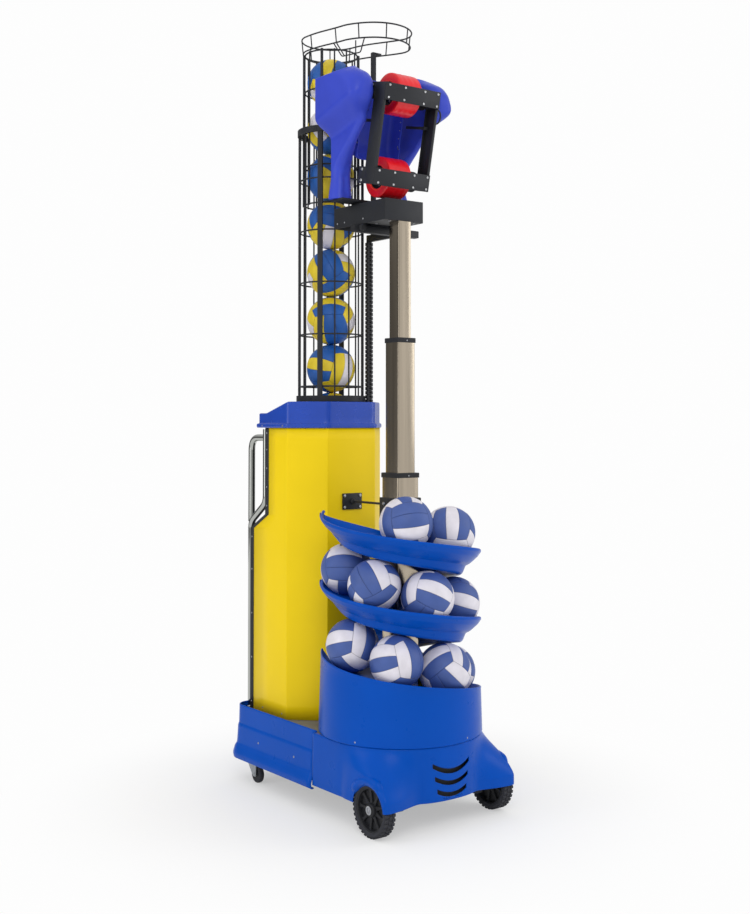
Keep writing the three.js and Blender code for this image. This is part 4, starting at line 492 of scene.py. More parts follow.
# Where each lamp stands, what it's turned to, how wide and high it is, and its power in watts
lamps = {
    "key": {"place": (-3.2, -4.6, 5.2), "target": (0, 0, 1.4), "size": (3.0, 3.0), "power": 84},
    "left": {"place": (-5.0, 1.0, 2.6), "target": (0, 0, 1.4), "size": (2.0, 4.0), "power": 50},
    "right": {"place": (4.4, -3.0, 3.0), "target": (0, 0, 1.2), "size": (2.0, 3.5), "power": 45},
}

def areaLight(name, place, target, size, power):
    data = bpy.data.lights.new(name, "AREA")
    data.shape = "RECTANGLE"
    data.size, data.size_y = size
    data.energy = power
    lamp = bpy.data.objects.new(name, data)
    bpy.context.scene.collection.objects.link(lamp)
    lamp.location = place
    lamp.rotation_euler = (Vector(target) - Vector(place)).to_track_quat("-Z", "Y").to_euler()

# Share of the way round and brightness of the walls there; the sky above; the white that the camera sees
studio = {"walls": [(0.0, 0.6), (0.12, 0.8), (0.22, 0.3), (0.31, 0.8), (0.42, 0.85), (0.5, 0.35), (0.62, 0.7),
                    (0.8, 0.1), (0.9, 0.2)],
          "skyFrom": 0.12, "skyFull": 0.6, "sky": (0.82, 0.82, 0.82, 1), "white": (0.985, 0.985, 0.985, 1)}

def makeWorld():
    world = bpy.data.worlds.new("studio")
    bpy.context.scene.world = world
    world.use_nodes = True
    tree = world.node_tree
    place = node(tree, "ShaderNodeTexCoord").outputs["Generated"]
    split = node(tree, "ShaderNodeSeparateXYZ", {"Vector": place}).outputs
    around = maths(tree, "ARCTAN2", split["Y"], split["X"])
    bands = node(tree, "ShaderNodeValToRGB", {"Fac": mapRange(tree, around, -math.pi, math.pi, 0.0, 1.0)})
    ramp = bands.color_ramp
    while len(ramp.elements) < len(studio["walls"]):
        ramp.elements.new(0.5)
    for element, (at, level) in zip(ramp.elements, studio["walls"]):
        element.position = at
        element.color = (level, level, level, 1)
    height = mapRange(tree, split["Z"], studio["skyFrom"], studio["skyFull"], 0.0, 1.0)
    lit = mixColour(tree, height, bands.outputs["Color"], studio["sky"])
    seen = node(tree, "ShaderNodeLightPath").outputs["Is Camera Ray"]
    feed(tree, tree.nodes["Background"], {"Color": mixColour(tree, seen, lit, studio["white"]), "Strength": 1.0})

# The floor takes the contact shadow; away from the machine it goes over into the backdrop's white
floorLook = {"half": 9.0, "base": (0.95, 0.95, 0.95, 1), "rough": 0.9, "fadeFrom": 0.5, "fadeTo": 1.5, "least": 0.42}

def makeFloor():
    half = floorLook["half"]
    mesh = bpy.data.meshes.new("floor")
    mesh.from_pydata([(-half, -half, 0), (half, -half, 0), (-half, half, 0), (half, half, 0)], [], [(0, 1, 3, 2)])
    floor = bpy.data.objects.new("floor", mesh)
    bpy.context.scene.collection.objects.link(floor)
    material, tree, shader = newMaterial("floorWhite")
    feed(tree, shader, {"Base Color": floorLook["base"], "Roughness": floorLook["rough"], "Specular IOR Level": 0.0})
    place = node(tree, "ShaderNodeTexCoord").outputs["Object"]
    away = node(tree, "ShaderNodeVectorMath", {0: place}, operation="LENGTH").outputs["Value"]
    fade = mapRange(tree, away, floorLook["fadeFrom"], floorLook["fadeTo"], floorLook["least"], 1.0, "SMOOTHSTEP")
    ray = node(tree, "ShaderNodeLightPath").outputs
    looked = maths(tree, "MAXIMUM", ray["Is Camera Ray"], ray["Is Glossy Ray"])
    white = node(tree, "ShaderNodeEmission", {"Color": studio["white"]}).outputs["Emission"]
    inputs = {"Fac": maths(tree, "MULTIPLY", fade, looked), 1: shader.outputs["BSDF"], 2: white}
    mixed = node(tree, "ShaderNodeMixShader", inputs).outputs["Shader"]
    feed(tree, tree.nodes["Material Output"], {"Surface": mixed})
    mesh.materials.append(material)

makeCamera()
makeWorld()
makeFloor()
for name, values in lamps.items():
    areaLight(name, **values)
print("camera and light ready")

# Moulded base, skirt, bucket and trays

mastY = -240.0
base = {"topRadius": 323, "bottomRadius": 328, "top": 316, "bottom": 112, "seamY": -88, "wall": 3.2,
        "axleY": -455, "track": 586, "wheelRadius": 103, "archRadius": 94, "archInner": 254,
        "reach": 175, "fenderTop": 314, "fenderFull": 150, "halfAngle": 30, "ease": 1.4,
        "sideLimit": 325, "frontLimit": 329, "power": 40}
vents = {"count": 3, "top": 256, "pitch": 43, "height": 17, "half": 90, "lessEach": 9, "sag": 28, "backRadius": 304,
         "backHalf": 110, "backLow": 113.5, "backHigh": 264}

# A point, or a row of points, at a reach and a turn round the mast
def roundMast(turn, reach, z):
    return np.stack([math.cos(turn) * reach, mastY + math.sin(turn) * reach, z + reach * 0], axis=-1)

# Cone with a swelling over each wheel, held inside the machine's width and length by a soft limit:
# radius = (free^-p + side^-p + front^-p)^(-1/p)
def baseRadius(angle, z):
    up = (z - base["bottom"]) / (base["top"] - base["bottom"])
    cone = base["bottomRadius"] + (base["topRadius"] - base["bottomRadius"]) * up
    wheelTurn = math.atan2(mastY - base["axleY"], base["track"] / 2)
    away = np.minimum(np.abs(angle - (math.pi + wheelTurn)), np.abs(angle - (tau - wheelTurn)))
    around = smoothStep(1 - away / math.radians(base["halfAngle"]))
    down = np.clip((base["fenderTop"] - z) / (base["fenderTop"] - base["fenderFull"]), 0, 1) ** base["ease"]
    free = cone + base["reach"] * around * down
    side = base["sideLimit"] / np.maximum(np.abs(np.cos(angle)), 1e-6)
    front = base["frontLimit"] / np.maximum(-np.sin(angle), 1e-6)
    power = base["power"]
    return (free ** -power + side ** -power + front ** -power) ** (-1 / power)

# Point(turn, level) = mast's axis + radius(turn, height) along the turn, with flat flanks behind
def makeBaseShell():
    # each level is a step out from the shell's radius and a height: the rolled foot, the wall, the rolled top
    levels = [(-9, 118), (-8, 114), (-5.5, 112.3), (-2.5, 112.2), (-0.6, 113.4)]
    wall = set(np.linspace(116, 311, 66))
    tops = [vents["top"] - k * vents["pitch"] for k in range(vents["count"])]
    for top in tops:
        low = top - vents["height"]
        wall = {z for z in wall if not low - 2 < z < top + 2} | {top, low, top - vents["height"] / 2}
    levels += [(0, z) for z in sorted(wall)]
    levels += [(-0.7, 313.6), (-2.4, 315.4), (-5, 316.1), (-14, 316.3), (-15.6, 314)]
    shift, level = arr(levels).T
    # the levels sag between the ends of the slots, so that the slots are curved
    turns = np.linspace(math.pi, tau, 421)
    middle = np.cos(turns) * base["bottomRadius"]
    inVents = np.abs(middle) < vents["half"]
    sag = np.where(inVents, vents["sag"] * (1 - (middle / vents["half"]) ** 2), 0)
    window = smoothStep((level - 120) / 30) * smoothStep((290 - level) / 40)
    z = level[None, :] - sag[:, None] * window[None, :]
    r = baseRadius(turns[:, None], np.clip(z, base["bottom"], base["top"])) + shift[None, :]
    points = np.stack([np.cos(turns)[:, None] * r, mastY + np.sin(turns)[:, None] * r, z], axis=-1)
    # straight flanks from both ends of the half circle back to the skirt
    def flank(end, ys):
        rows = np.repeat(end[None], len(ys), axis=0)
        rows[..., 1] = ys[:, None]
        return rows
    ys = np.linspace(base["seamY"], mastY, 24)[:-1]
    points = np.concatenate([flank(points[0], ys), points, flank(points[-1], ys[::-1])])
    # faces inside the wheel arches and the slots are left out, and the arch's edge is drawn onto its circle
    dy = points[..., 1] - base["axleY"]
    dz = points[..., 2] - base["wheelRadius"]
    reach = np.hypot(dy, dz)
    inArch = (reach < base["archRadius"]) & (np.abs(points[..., 0]) > base["archInner"])
    keep = ~(inArch[:-1, :-1] & inArch[1:, :-1] & inArch[:-1, 1:] & inArch[1:, 1:])
    pull = np.where(inArch, base["archRadius"] / np.maximum(reach, 1), 1)
    points[..., 1] = base["axleY"] + dy * pull
    points[..., 2] = base["wheelRadius"] + dz * pull
    middleX = (points[:-1, :, 0] + points[1:, :, 0])[:, :-1] / 2
    front = points[:-1, :-1, 1] < -500
    middleLevel = (level[1:] + level[:-1]) / 2
    for k, top in enumerate(tops):
        inside = (middleLevel < top) & (middleLevel > top - vents["height"])
        keep &= ~(front & inside[None, :] & (np.abs(middleX) < vents["half"] - vents["lessEach"] * k))
    chunk = grid(points, closeColumns=False)
    chunk["f"][0] = chunk["f"][0][keep.reshape(-1)]
    shell = makePiece("base_shell", "frame", [chunk], "mouldedBlue", replaces=["front_base_shell"], sharp=50)
    thicken(shell, base["wall"])
    makePiece("arch_lips", "frame", [archLip(side) for side in bothSides], "mouldedBlue")
    # dark inside behind the slots
    across = np.linspace(-vents["backHalf"], vents["backHalf"], 13)
    back = [[[x, mastY - math.sqrt(vents["backRadius"] ** 2 - x ** 2), z] for x in across]
            for z in (vents["backLow"], vents["backHigh"])]
    makePiece("vent_shadow", "frame", [grid(back, closeColumns=False)], "blackPlastic")

# A rolled brow round the arch: at each height the shell's own outline gives how far out its edge lies
# radius(t) = least + (full - least) * S(min(t - start, end - t) / ease)
brow = {"start": 0.2, "end": 2.5, "ease": 0.55, "radius": 20, "leastRadius": 2, "out": 13, "sink": 12, "leastX": 266}

def archLip(side):
    turns = np.linspace(math.pi, 1.5 * math.pi, 700)
    across = (np.arange(16) / 16 * tau)[:, None]
    reach = base["archRadius"] + brow["out"]
    outward = arr([side, 0, 0])
    rows = []
    for t in np.linspace(brow["start"], brow["end"], 70):
        share = smoothStep(min(t - brow["start"], brow["end"] - t) / brow["ease"])
        thick = brow["leastRadius"] + (brow["radius"] - brow["leastRadius"]) * share
        radial = arr([0, math.cos(t), math.sin(t)])
        place = arr([0, base["axleY"], base["wheelRadius"]]) + radial * reach
        r = baseRadius(turns, place[2])
        ys = mastY + np.sin(turns) * r
        order = np.argsort(ys)
        x = -np.interp(place[1], ys[order], (np.cos(turns) * r)[order])
        place[0] = side * (max(x, brow["leastX"]) - brow["sink"])
        rows.append(place + np.cos(across) * radial * thick + np.sin(across) * outward * thick)
    return capped(rows)

# Outline of the skirt's wall as reach from the machine's middle and height
skirt = {"seamY": -87.7, "rearY": 568, "corner": 60, "topOffset": 302, "bulge": 329, "wall": 3.5,
         "outline": [(312, 98), (321, 96), (326, 98), (329, 112), (329, 120), (321, 146), (313, 158), (311.5, 168),
                     (308, 230), (306, 238), (303.5, 243), (302.2, 300), (302, 318), (300.5, 322), (297, 322),
                     (296, 316)],
         "screwX": 310, "screwY": (60, 330), "screwZ": 190}

# Point = station + reach of the outline along the station's heading, round both rear corners
def makeSkirt():
    section = rounded(skirt["outline"], 4, 3)
    out = skirt["corner"] + section[:, 0] - skirt["topOffset"]
    reach = skirt["topOffset"] - skirt["corner"]
    cornerY = skirt["rearY"] - (skirt["bulge"] - skirt["topOffset"]) - skirt["corner"]
    quarter = np.linspace(0, math.pi / 2, 14)
    flank = np.linspace(skirt["seamY"], cornerY, 18)
    stations = [(-reach, y, math.pi) for y in flank[:-1]]
    stations += [(-reach, cornerY, math.pi - t) for t in quarter]
    stations += [(x, cornerY, math.pi / 2) for x in np.linspace(-reach, reach, 14)[1:-1]]
    stations += [(reach, cornerY, math.pi / 2 - t) for t in quarter]
    stations += [(reach, y, 0.0) for y in flank[-2::-1]]
    rows = [np.stack([x + math.cos(turn) * out, y + math.sin(turn) * out, section[:, 1]], axis=-1)
            for x, y, turn in stations]
    piece = makePiece("skirt", "frame", [grid(rows, closeColumns=False)], "mouldedBlue", replaces=["rear_skirt"],
                      sharp=60)
    thicken(piece, skirt["wall"])
    screws = [screwHead((side * skirt["screwX"], y, skirt["screwZ"]), (side, 0, 0.04), 4.5, 2)
              for y in skirt["screwY"] for side in bothSides]
    makePiece("skirt_screws", "frame", screws, "zinc")

# Two spiral trays over a bucket whose rim is the same spiral: rim(angle) = start - drop * (angle - start angle) / 360
trays = {"start": 138, "span": 345, "drop": 280, "spacing": 268, "topRim": 1166, "radius": 323, "hub": 53.4,
         "tip": 26, "tipReach": 0.06, "tipHeight": 0.16, "tipLift": 9, "bead": 6.2, "beadInset": 6.5, "beadTip": 22}
# Outline of a tray's section as distance in from its rim and height over it
trayOuter = [(4, 3.2), (8.5, 0.5), (12, -5), (30, -28), (56, -43), (110, -49)]
trayUnder = [(104, -97), (84, -97), (74, -90), (62, -60), (46, -52), (36, -44), (14, -24), (6, -12), (1.5, -6.5),
             (0, -1.5)]
trayHub = (-50, -88)

# A rim's height falls evenly with the turn
def rimAt(startHeight, degrees):
    return startHeight - trays["drop"] * (degrees - trays["start"]) / 360

# The hub's hole is square round the mast: reach(turn) = half / max(|cos turn|, |sin turn|)
def hubReach(turn):
    return trays["hub"] / max(abs(math.cos(turn)), abs(math.sin(turn)))

# The section is carried round the spiral, growing from a thin edge to full depth at its start
def makeTray(name, startHeight, replaced):
    r, start, lift = trays["radius"], trays["start"], trays["tipLift"]
    outline = [(r - a, b) for a, b in trayOuter] + [(trays["hub"], z) for z in trayHub]
    outline += [(r - a, b) for a, b in trayUnder]
    section = rounded(outline, 5, 3, closed=True)
    rows = []
    for degrees in np.linspace(0, trays["span"], 220) + start:
        share = smoothStep((degrees - start) / trays["tip"])
        turn = math.radians(degrees)
        reach = r - (r - section[:, 0]) * (trays["tipReach"] + (1 - trays["tipReach"]) * share)
        height = section[:, 1] * (trays["tipHeight"] + (1 - trays["tipHeight"]) * share) + (1 - share) * lift
        rows.append(roundMast(turn, np.maximum(reach, hubReach(turn)), rimAt(startHeight, degrees) + height))
    # a rolled rim that curls over at the tray's thin end
    bead = []
    for degrees in np.linspace(start - 1.5, start + trays["span"], 230):
        less = 1 - smoothStep((degrees - start + 1.5) / trays["beadTip"])
        reach = r - trays["beadInset"] - 6 * less
        bead.append(roundMast(math.radians(degrees), reach, rimAt(startHeight, degrees) + 0.5 + lift * less))
    makePiece(name, "frame", [capped(rows), tube(bead, trays["bead"], 14)], "mouldedBlue", replaces=[replaced],
              sharp=60)

bucket = {"bottom": 316.5, "topRadius": 317, "taper": 9, "floorDepth": 50, "floorLeast": 12, "floor": 5,
          "innerReach": 210, "underReach": 280, "screwRadius": 324.6, "screwZ": 330, "screws": (284, 200, 340)}

# A wall and floor carried round the spiral: wall radius = top radius + taper * share of the way down
def makeBucket():
    start = trays["topRim"] - 2 * trays["spacing"]
    bottom = bucket["bottom"]
    def wall(z):
        return bucket["topRadius"] + bucket["taper"] * (start - z) / (start - bottom)
    rows = []
    for degrees in np.linspace(0, trays["span"], 240) + trays["start"]:
        turn = math.radians(degrees)
        rim = rimAt(start, degrees)
        r = wall(rim)
        floor = max(rim - bucket["floorDepth"], bottom + bucket["floorLeast"])
        outline = [(wall(bottom) - 3, bottom), (wall(bottom + 3), bottom + 3)]
        outline += [(wall(z), z) for z in np.linspace(bottom + 6, rim - 9, 9)]
        outline += [(r + 1.2, rim - 6), (r + 0.6, rim - 1.5), (r - 2.5, rim + 0.8), (r - 6, rim - 1.5)]
        outline += [(r - 8, rim - 8), (r - 24, min(rim - 30, floor + 22)), (r - 60, floor + 5)]
        outline.append((bucket["innerReach"], floor + 1.5))
        outline += [(trays["hub"], floor), (trays["hub"], floor - bucket["floor"])]
        outline += [(bucket["underReach"], floor - bucket["floor"]), (wall(bottom) - 9, bottom + 3)]
        reach, height = arr(outline).T
        rows.append(roundMast(turn, np.maximum(reach, hubReach(turn)), np.maximum(height, bottom)))
    makePiece("bucket", "frame", [capped(rows)], "mouldedBlue", replaces=["ball_bucket"], sharp=45)
    screws = []
    for turn in map(math.radians, bucket["screws"]):
        place = roundMast(turn, bucket["screwRadius"], bucket["screwZ"])
        screws.append(screwHead(place, (math.cos(turn), math.sin(turn), 0), 3.6, 1.8))
    makePiece("front_screws", "frame", screws, "zinc")

makeBaseShell()
makeSkirt()
makeBucket()
makeTray("upper_tray", trays["topRim"], "top_ball_tray")
makeTray("lower_tray", trays["topRim"] - trays["spacing"], "middle_ball_tray")
print("moulded parts ready")

# Balls: eighteen panels, three strips on each side of a cube blown up to a sphere

balls = {"radius": 104.0, "pitch": 208.6, "seamDepth": 1.5, "seamHalf": 0.017, "along": 15, "across": 7,
         "track": 213.0, "floorDepth": 47, "seat": 104.8, "columnCount": 12, "columnLow": 734, "columnPitch": 207,
         "columnY": 245}
ballColours = {"white": (232, 228, 236), "slate": (66, 92, 160), "yellow": (236, 208, 42), "blue": (22, 92, 176)}
# Colours of the three strips on each pair of sides
schemes = {
    "slate": [["slate", "white", "slate"], ["white", "slate", "white"], ["white", "slate", "slate"]],
    "court": [["blue", "yellow", "blue"], ["yellow", "white", "yellow"], ["yellow", "blue", "blue"]],
}

# Shares along a panel, close together at its seams
def panelCuts(count, width):
    e = balls["seamHalf"] / width
    return np.concatenate([[0, 0.45 * e, e], np.linspace(2.2 * e, 1 - 2.2 * e, count), [1 - e, 1 - 0.45 * e, 1]])

# Point on a panel = (tan a, tan b, 1) divided by its length, then turned to its side of the cube
def panelPatches():
    quarter = math.pi / 4
    s = panelCuts(balls["along"], 2 * quarter)
    t = panelCuts(balls["across"], 2 * quarter / 3)
    patches = []
    for side in range(6):
        order = [(2, 0, 1), (1, 2, 0), (0, 1, 2)][side // 2]
        for strip in range(3):
            a = np.tan(-quarter + 2 * quarter * s)
            b = np.tan(-quarter + 2 * quarter * (strip + t) / 3)
            a, b = np.meshgrid(a, b, indexing="ij")
            local = np.stack([a, b, np.ones_like(a)], axis=-1)
            local /= np.linalg.norm(local, axis=-1)[..., None]
            turned = local[..., list(order)]
            if side % 2:
                turned = (-turned)[:, ::-1]
            # the seam is deepest at the panel's edge and fades over its next two rings
            depth = np.zeros(a.shape)
            for ring, share in ((2, 0.12), (1, 0.55), (0, 1)):
                for edge in (ring, -1 - ring):
                    depth[edge, :] = np.maximum(depth[edge, :], share)
                    depth[:, edge] = np.maximum(depth[:, edge], share)
            patches.append((turned, depth, side, strip))
    return patches

patchSet = panelPatches()

# A turn drawn at random from a seed, as a matrix made from a unit quaternion
def turnMatrix(seed):
    q = np.random.default_rng(seed).normal(size=4)
    w, x, y, z = q / np.linalg.norm(q)
    return arr([[1 - 2 * (y * y + z * z), 2 * (x * y - z * w), 2 * (x * z + y * w)],
                [2 * (x * y + z * w), 1 - 2 * (x * x + z * z), 2 * (y * z - x * w)],
                [2 * (x * z - y * w), 2 * (y * z + x * w), 1 - 2 * (x * x + y * y)]])

# All balls of one run as one piece, with a face colour per panel and a seam mark at its edges
def makeBalls(name, replaced, centres, kinds, seeds):
    chunks, tints, seams = [], [], []
    for centre, kind, seed in zip(centres, kinds, seeds):
        turn = turnMatrix(seed)
        for points, depth, side, strip in patchSet:
            radius = balls["radius"] - balls["seamDepth"] * depth
            chunk = grid(points @ turn.T * radius[..., None] + arr(centre), closeColumns=False)
            chunks.append(chunk)
            tint = colour(*ballColours[schemes[kind][side // 2][strip]])[:3]
            tints.append(np.repeat(arr([tint]), len(chunk["f"][0]), axis=0))
            seams.append(np.where(depth > 0.5, depth, 0).reshape(-1))
    makePiece(name, "frame", chunks, "ballLeather", replaces=[replaced], sharp=None, weld=False,
              seams=np.concatenate(seams), tints=np.vstack(tints))

# Balls that lie against each other down a tray, from an angle on
def trayCentres(startHeight, firstAngle, count):
    track = balls["track"]
    slope = trays["drop"] / (tau * track)
    step = 2 * math.asin(balls["pitch"] / math.sqrt(1 + slope * slope) / 2 / track)
    centres = []
    for k in range(count):
        turn = math.radians(firstAngle) + k * step
        along = arr([-math.sin(turn), math.cos(turn), -slope])
        up = np.cross([math.cos(turn), math.sin(turn), 0], along / np.linalg.norm(along))
        floor = rimAt(startHeight, math.degrees(turn)) - balls["floorDepth"]
        centres.append(roundMast(turn, track, floor) + up * balls["seat"])
    return centres

# Each run: its node, the rim it lies under, its first angle, and the scheme and seed of each ball
ballRuns = {
    "stock_top": ("top_tray_balls", 0, 232, [("slate", 3), ("slate", 8), ("court", 21), ("court", 5)]),
    "stock_middle": ("middle_tray_balls", 1, 141,
                     [("slate", 31), ("slate", 12), ("slate", 6), ("slate", 44), ("court", 9)]),
    "stock_bucket": ("bucket_balls", 2, 165,
                     [("slate", 2), ("slate", 27), ("slate", 14), ("slate", 50), ("court", 7)]),
}
for name, (replaced, tray, firstAngle, run) in ballRuns.items():
    centres = trayCentres(trays["topRim"] - tray * trays["spacing"], firstAngle, len(run))
    makeBalls(name, replaced, centres, *zip(*run))
column = range(balls["columnCount"])
makeBalls("stock_column", "ball_column",
          [(0, balls["columnY"], balls["columnLow"] + balls["columnPitch"] * k) for k in column],
          ["court" for k in column], [60 + 7 * k for k in column])
print("balls ready")

# Tower, back cover, handles and cap

tower = {"half": 245, "frontHalf": 123, "frontY": 92, "chamferY": 216, "lowY": 492, "highY": 373, "stepLow": 1078,
         "stepHigh": 1143, "top": 1513, "bottom": 300.3, "fold": 2.5, "sheet": 2.4, "pan": 14, "lap": 17}
towerScrews = {"sides": (330, 520, 710, 900, 1040, 1180, 1260, 1340, 1420, 1490),
               "rearX": (-200, -100, 0, 100, 200), "low": 330, "high": 1490, "footY": (250, 400), "footZ": 318}

# How far back the tower's sides reach at a height: they step forward on one slope
def rearEdge(z):
    return float(np.interp(z, [tower["stepLow"], tower["stepHigh"]], [tower["lowY"], tower["highY"]]))

# One open outline at each height, its folds eased; the sheet gets its thickness afterwards
def makeTower():
    low, high = tower["stepLow"], tower["stepHigh"]
    heights = np.concatenate([np.linspace(tower["bottom"], low - 3, 14), np.linspace(low, high, 7),
                              np.linspace(high + 3, tower["top"], 8)])
    half, chamferY, fold = tower["half"], tower["chamferY"], tower["fold"]
    sheetRows, panRows = [], []
    for z in heights:
        rear = rearEdge(z)
        left = [(-half, rear, z), (-half, (rear + chamferY) / 2, z), (-half, chamferY, z),
                (-tower["frontHalf"], tower["frontY"], z)]
        right = [(-x, y, h) for x, y, h in left[::-1]]
        sheetRows.append(rounded(left + right, [0, 1, fold, fold, fold, fold, 1, 0], 3))
        lap = rear + 0.4 - tower["lap"]
        back = rear + tower["pan"]
        side = half + 0.6
        pan = [(-side, lap, z), (-side, back, z), (0, back, z), (side, back, z), (side, lap, z)]
        panRows.append(rounded(pan, [0, 3, 1, 3, 0], 3))
    for name, rows, look, replaced in (("tower_sheet", sheetRows, "yellowPaint", "tower_shell"),
                                       ("back_cover", panRows, "blackPaint", "back_panel")):
        piece = makePiece(name, "frame", [grid(rows, closeColumns=False)], look, replaces=[replaced], sharp=25)
        thicken(piece, tower["sheet"])
    screws = []
    for z in towerScrews["sides"]:
        for side in bothSides:
            place = (side * (half + 0.6), rearEdge(z) + tower["pan"] / 2 - 8, z)
            screws.append(screwHead(place, (side, 0, 0), 3.4, 2.0))
    for x in towerScrews["rearX"]:
        for y, z in ((tower["lowY"], towerScrews["low"]), (tower["highY"], towerScrews["high"])):
            screws.append(screwHead((x, y + tower["pan"], z), (0, 1, 0), 3.4, 2.0))
    for y in towerScrews["footY"]:
        for side in bothSides:
            screws.append(screwHead((side * half, y, towerScrews["footZ"]), (side, 0, 0), 3.6, 2.0))
    makePiece("tower_screws", "frame", screws, "zinc")

handle = {"x": 229, "lowY": 521.3, "highY": 402.3, "foot": 300.5, "bend": 1104, "bendTop": 1190, "gripTop": 1470,
          "top": 1507, "radius": 15, "gripRadius": 14.7}

# On each side an upright bent forward at the step, and a grip that goes on straight up and bends in
def makeHandles():
    lowY, highY, foot, bend = handle["lowY"], handle["highY"], handle["foot"], handle["bend"]
    upright = [(lowY, foot), (lowY, 700), (lowY, bend), (highY, handle["bendTop"]), (highY, 1350)]
    upright.append((highY, handle["top"]))
    grip = [(lowY, bend), (lowY, 1300), (lowY, handle["gripTop"]), (highY, handle["gripTop"])]
    collar = [[15.2, 0], [22, 0], [22, 3], [20, 5], [15.2, 6]]
    chunks = []
    for side in bothSides:
        x = side * handle["x"]
        for path, ease, steps, radius in ((upright, [0, 0.1, 30, 30, 0.1, 0], 9, handle["radius"]),
                                          (grip, [0, 0.1, 60, 0], 12, handle["gripRadius"])):
            chunks.append(tube(rounded([(x, y, z) for y, z in path], ease, steps), radius, 28))
        chunks.append(revolve(collar, (x, lowY, foot), sides=28))
    makePiece("handles", "frame", chunks, "chrome", replaces=["left_handle_tube", "right_handle_tube"])

cap = {"overhang": 7, "rearY": 452, "lip": 19, "inset": 8, "rear": 44, "front": 92, "mouth": 146, "mouthY": 245,
       "ridge": 88, "corner": 12, "points": 168}

# The tower's outline moved outward by an offset, its corners rounded
def capRing(offset, z):
    t = math.tan(math.pi / 8)
    side = tower["half"] + offset
    front = tower["frontHalf"] + offset * t
    face = tower["frontY"] - offset
    shoulder = tower["chamferY"] - offset * t
    rear = cap["rearY"] + offset - cap["overhang"]
    corners = [(-side, rear), (-side, shoulder), (-front, face), (front, face), (side, shoulder), (side, rear)]
    ring = rounded([(x, y, z) for x, y in corners], cap["corner"], 5, closed=True)
    return evenly(ring, cap["points"])

# The cap's top falls from its front to its back over a sloping band
def capTop(y):
    ridge = (tower["highY"] + tower["chamferY"]) / 2 + cap["ridge"]
    return tower["top"] + cap["lip"] + np.interp(y, [tower["chamferY"], ridge], [cap["front"], cap["rear"]])

# A ring set onto the cap's top, or some way under it
def onCapTop(ring, drop=0):
    return np.column_stack([ring[:, :2], capTop(ring[:, 1]) - drop])

# Rings go up the lip and the wall, over the top's edge and in to the round mouth
def makeCap():
    z0 = tower["top"] + 0.4
    lip = tower["top"] + cap["lip"]
    over, inset = cap["overhang"], cap["inset"]
    steps = [(-4, z0 + 2), (-1.5, z0), (0, z0 + 3.5), (0.4, (z0 + lip) / 2), (0, lip - 4), (-2.5, lip - 0.8),
             (1.5 - inset, lip)]
    rings = [capRing(over + step, z) for step, z in steps]
    wallBase = capRing(over - inset, lip)
    for share in (0.05, 0.3, 0.6, 0.9):
        rings.append(np.column_stack([wallBase[:, :2], lip + (capTop(wallBase[:, 1]) - lip) * share]))
    for further, drop in ((0.6, 3.5), (2.2, 1.2), (5, 0.1), (12, 0)):
        rings.append(onCapTop(capRing(over - inset - further, 0), drop))
    outer = rings[-1]
    angle = np.arctan2(outer[:, 1] - cap["mouthY"], outer[:, 0])
    mouth = np.column_stack([np.cos(angle) * cap["mouth"], cap["mouthY"] + np.sin(angle) * cap["mouth"], angle * 0])
    mouth = onCapTop(mouth)
    rings += [onCapTop(outer * (1 - share) + mouth * share) for share in np.linspace(0.08, 1, 12)]
    rings += [mouth - [0, 0, drop] for drop in (3, 14, 26)]
    makePiece("cap_shell", "frame", [grid(rings)], "capBlue", replaces=["top_cap"], sharp=24)
    screws = [screwHead((side * (tower["half"] + over), y, tower["top"] + 9), (side, 0, 0), 3.4, 2)
              for y in (240, 400) for side in bothSides]
    makePiece("cap_screws", "frame", screws, "zinc")

makeTower()
makeHandles()
makeCap()
print("tower ready")

# Mast: half width, corner radius, foot and top of each tube

mast = {"low": (52.5, 5, 104.6, 1332), "mid": (42.5, 4, 772, 1872), "top": (31.5, 3.5, 1312, 2344.7), "wall": 4,
        "sleeveHalf": 60.5, "sleeveLow": 1116.8, "sleeveTop": 1236, "sleeveBolts": (1140, 1212), "boltX": (-30, 30)}

# A square round the mast, its corners quarter circles
def squareRing(half, r, z):
    signX, signY, lon = cornerTurns(4)
    x = signX * (half - r) + r * np.cos(lon)
    y = mastY + signY * (half - r) + r * np.sin(lon)
    return np.stack([x, y, z + lon * 0], axis=-1)

# Square rings joined one after another
def squareRings(steps):
    return grid([squareRing(*step) for step in steps])

# A square tube: up its outside, over its top edge and a short way down inside
def squareTube(half, r, z0, z1):
    steps = [(half, r, z) for z in np.linspace(z0, z1 - 0.8, 12)] + [(half - 0.7, r, z1)]
    return squareRings(steps + [(half - mast["wall"], r, z1), (half - mast["wall"], r, z1 - 60)])

# A collar that closes the gap between two tubes at the outer one's top
def collar(outer, inner):
    half, bore, top = mast[outer][0], mast[inner][0], mast[outer][3]
    return squareRings([(half + 0.4, 3, top - 16), (half + 3, 4, top - 16), (half + 3, 4, top + 1.6),
                        (half + 1.6, 4, top + 3.3), (bore + 0.5, 3, top + 3.3), (bore + 0.3, 3, top - 4)])

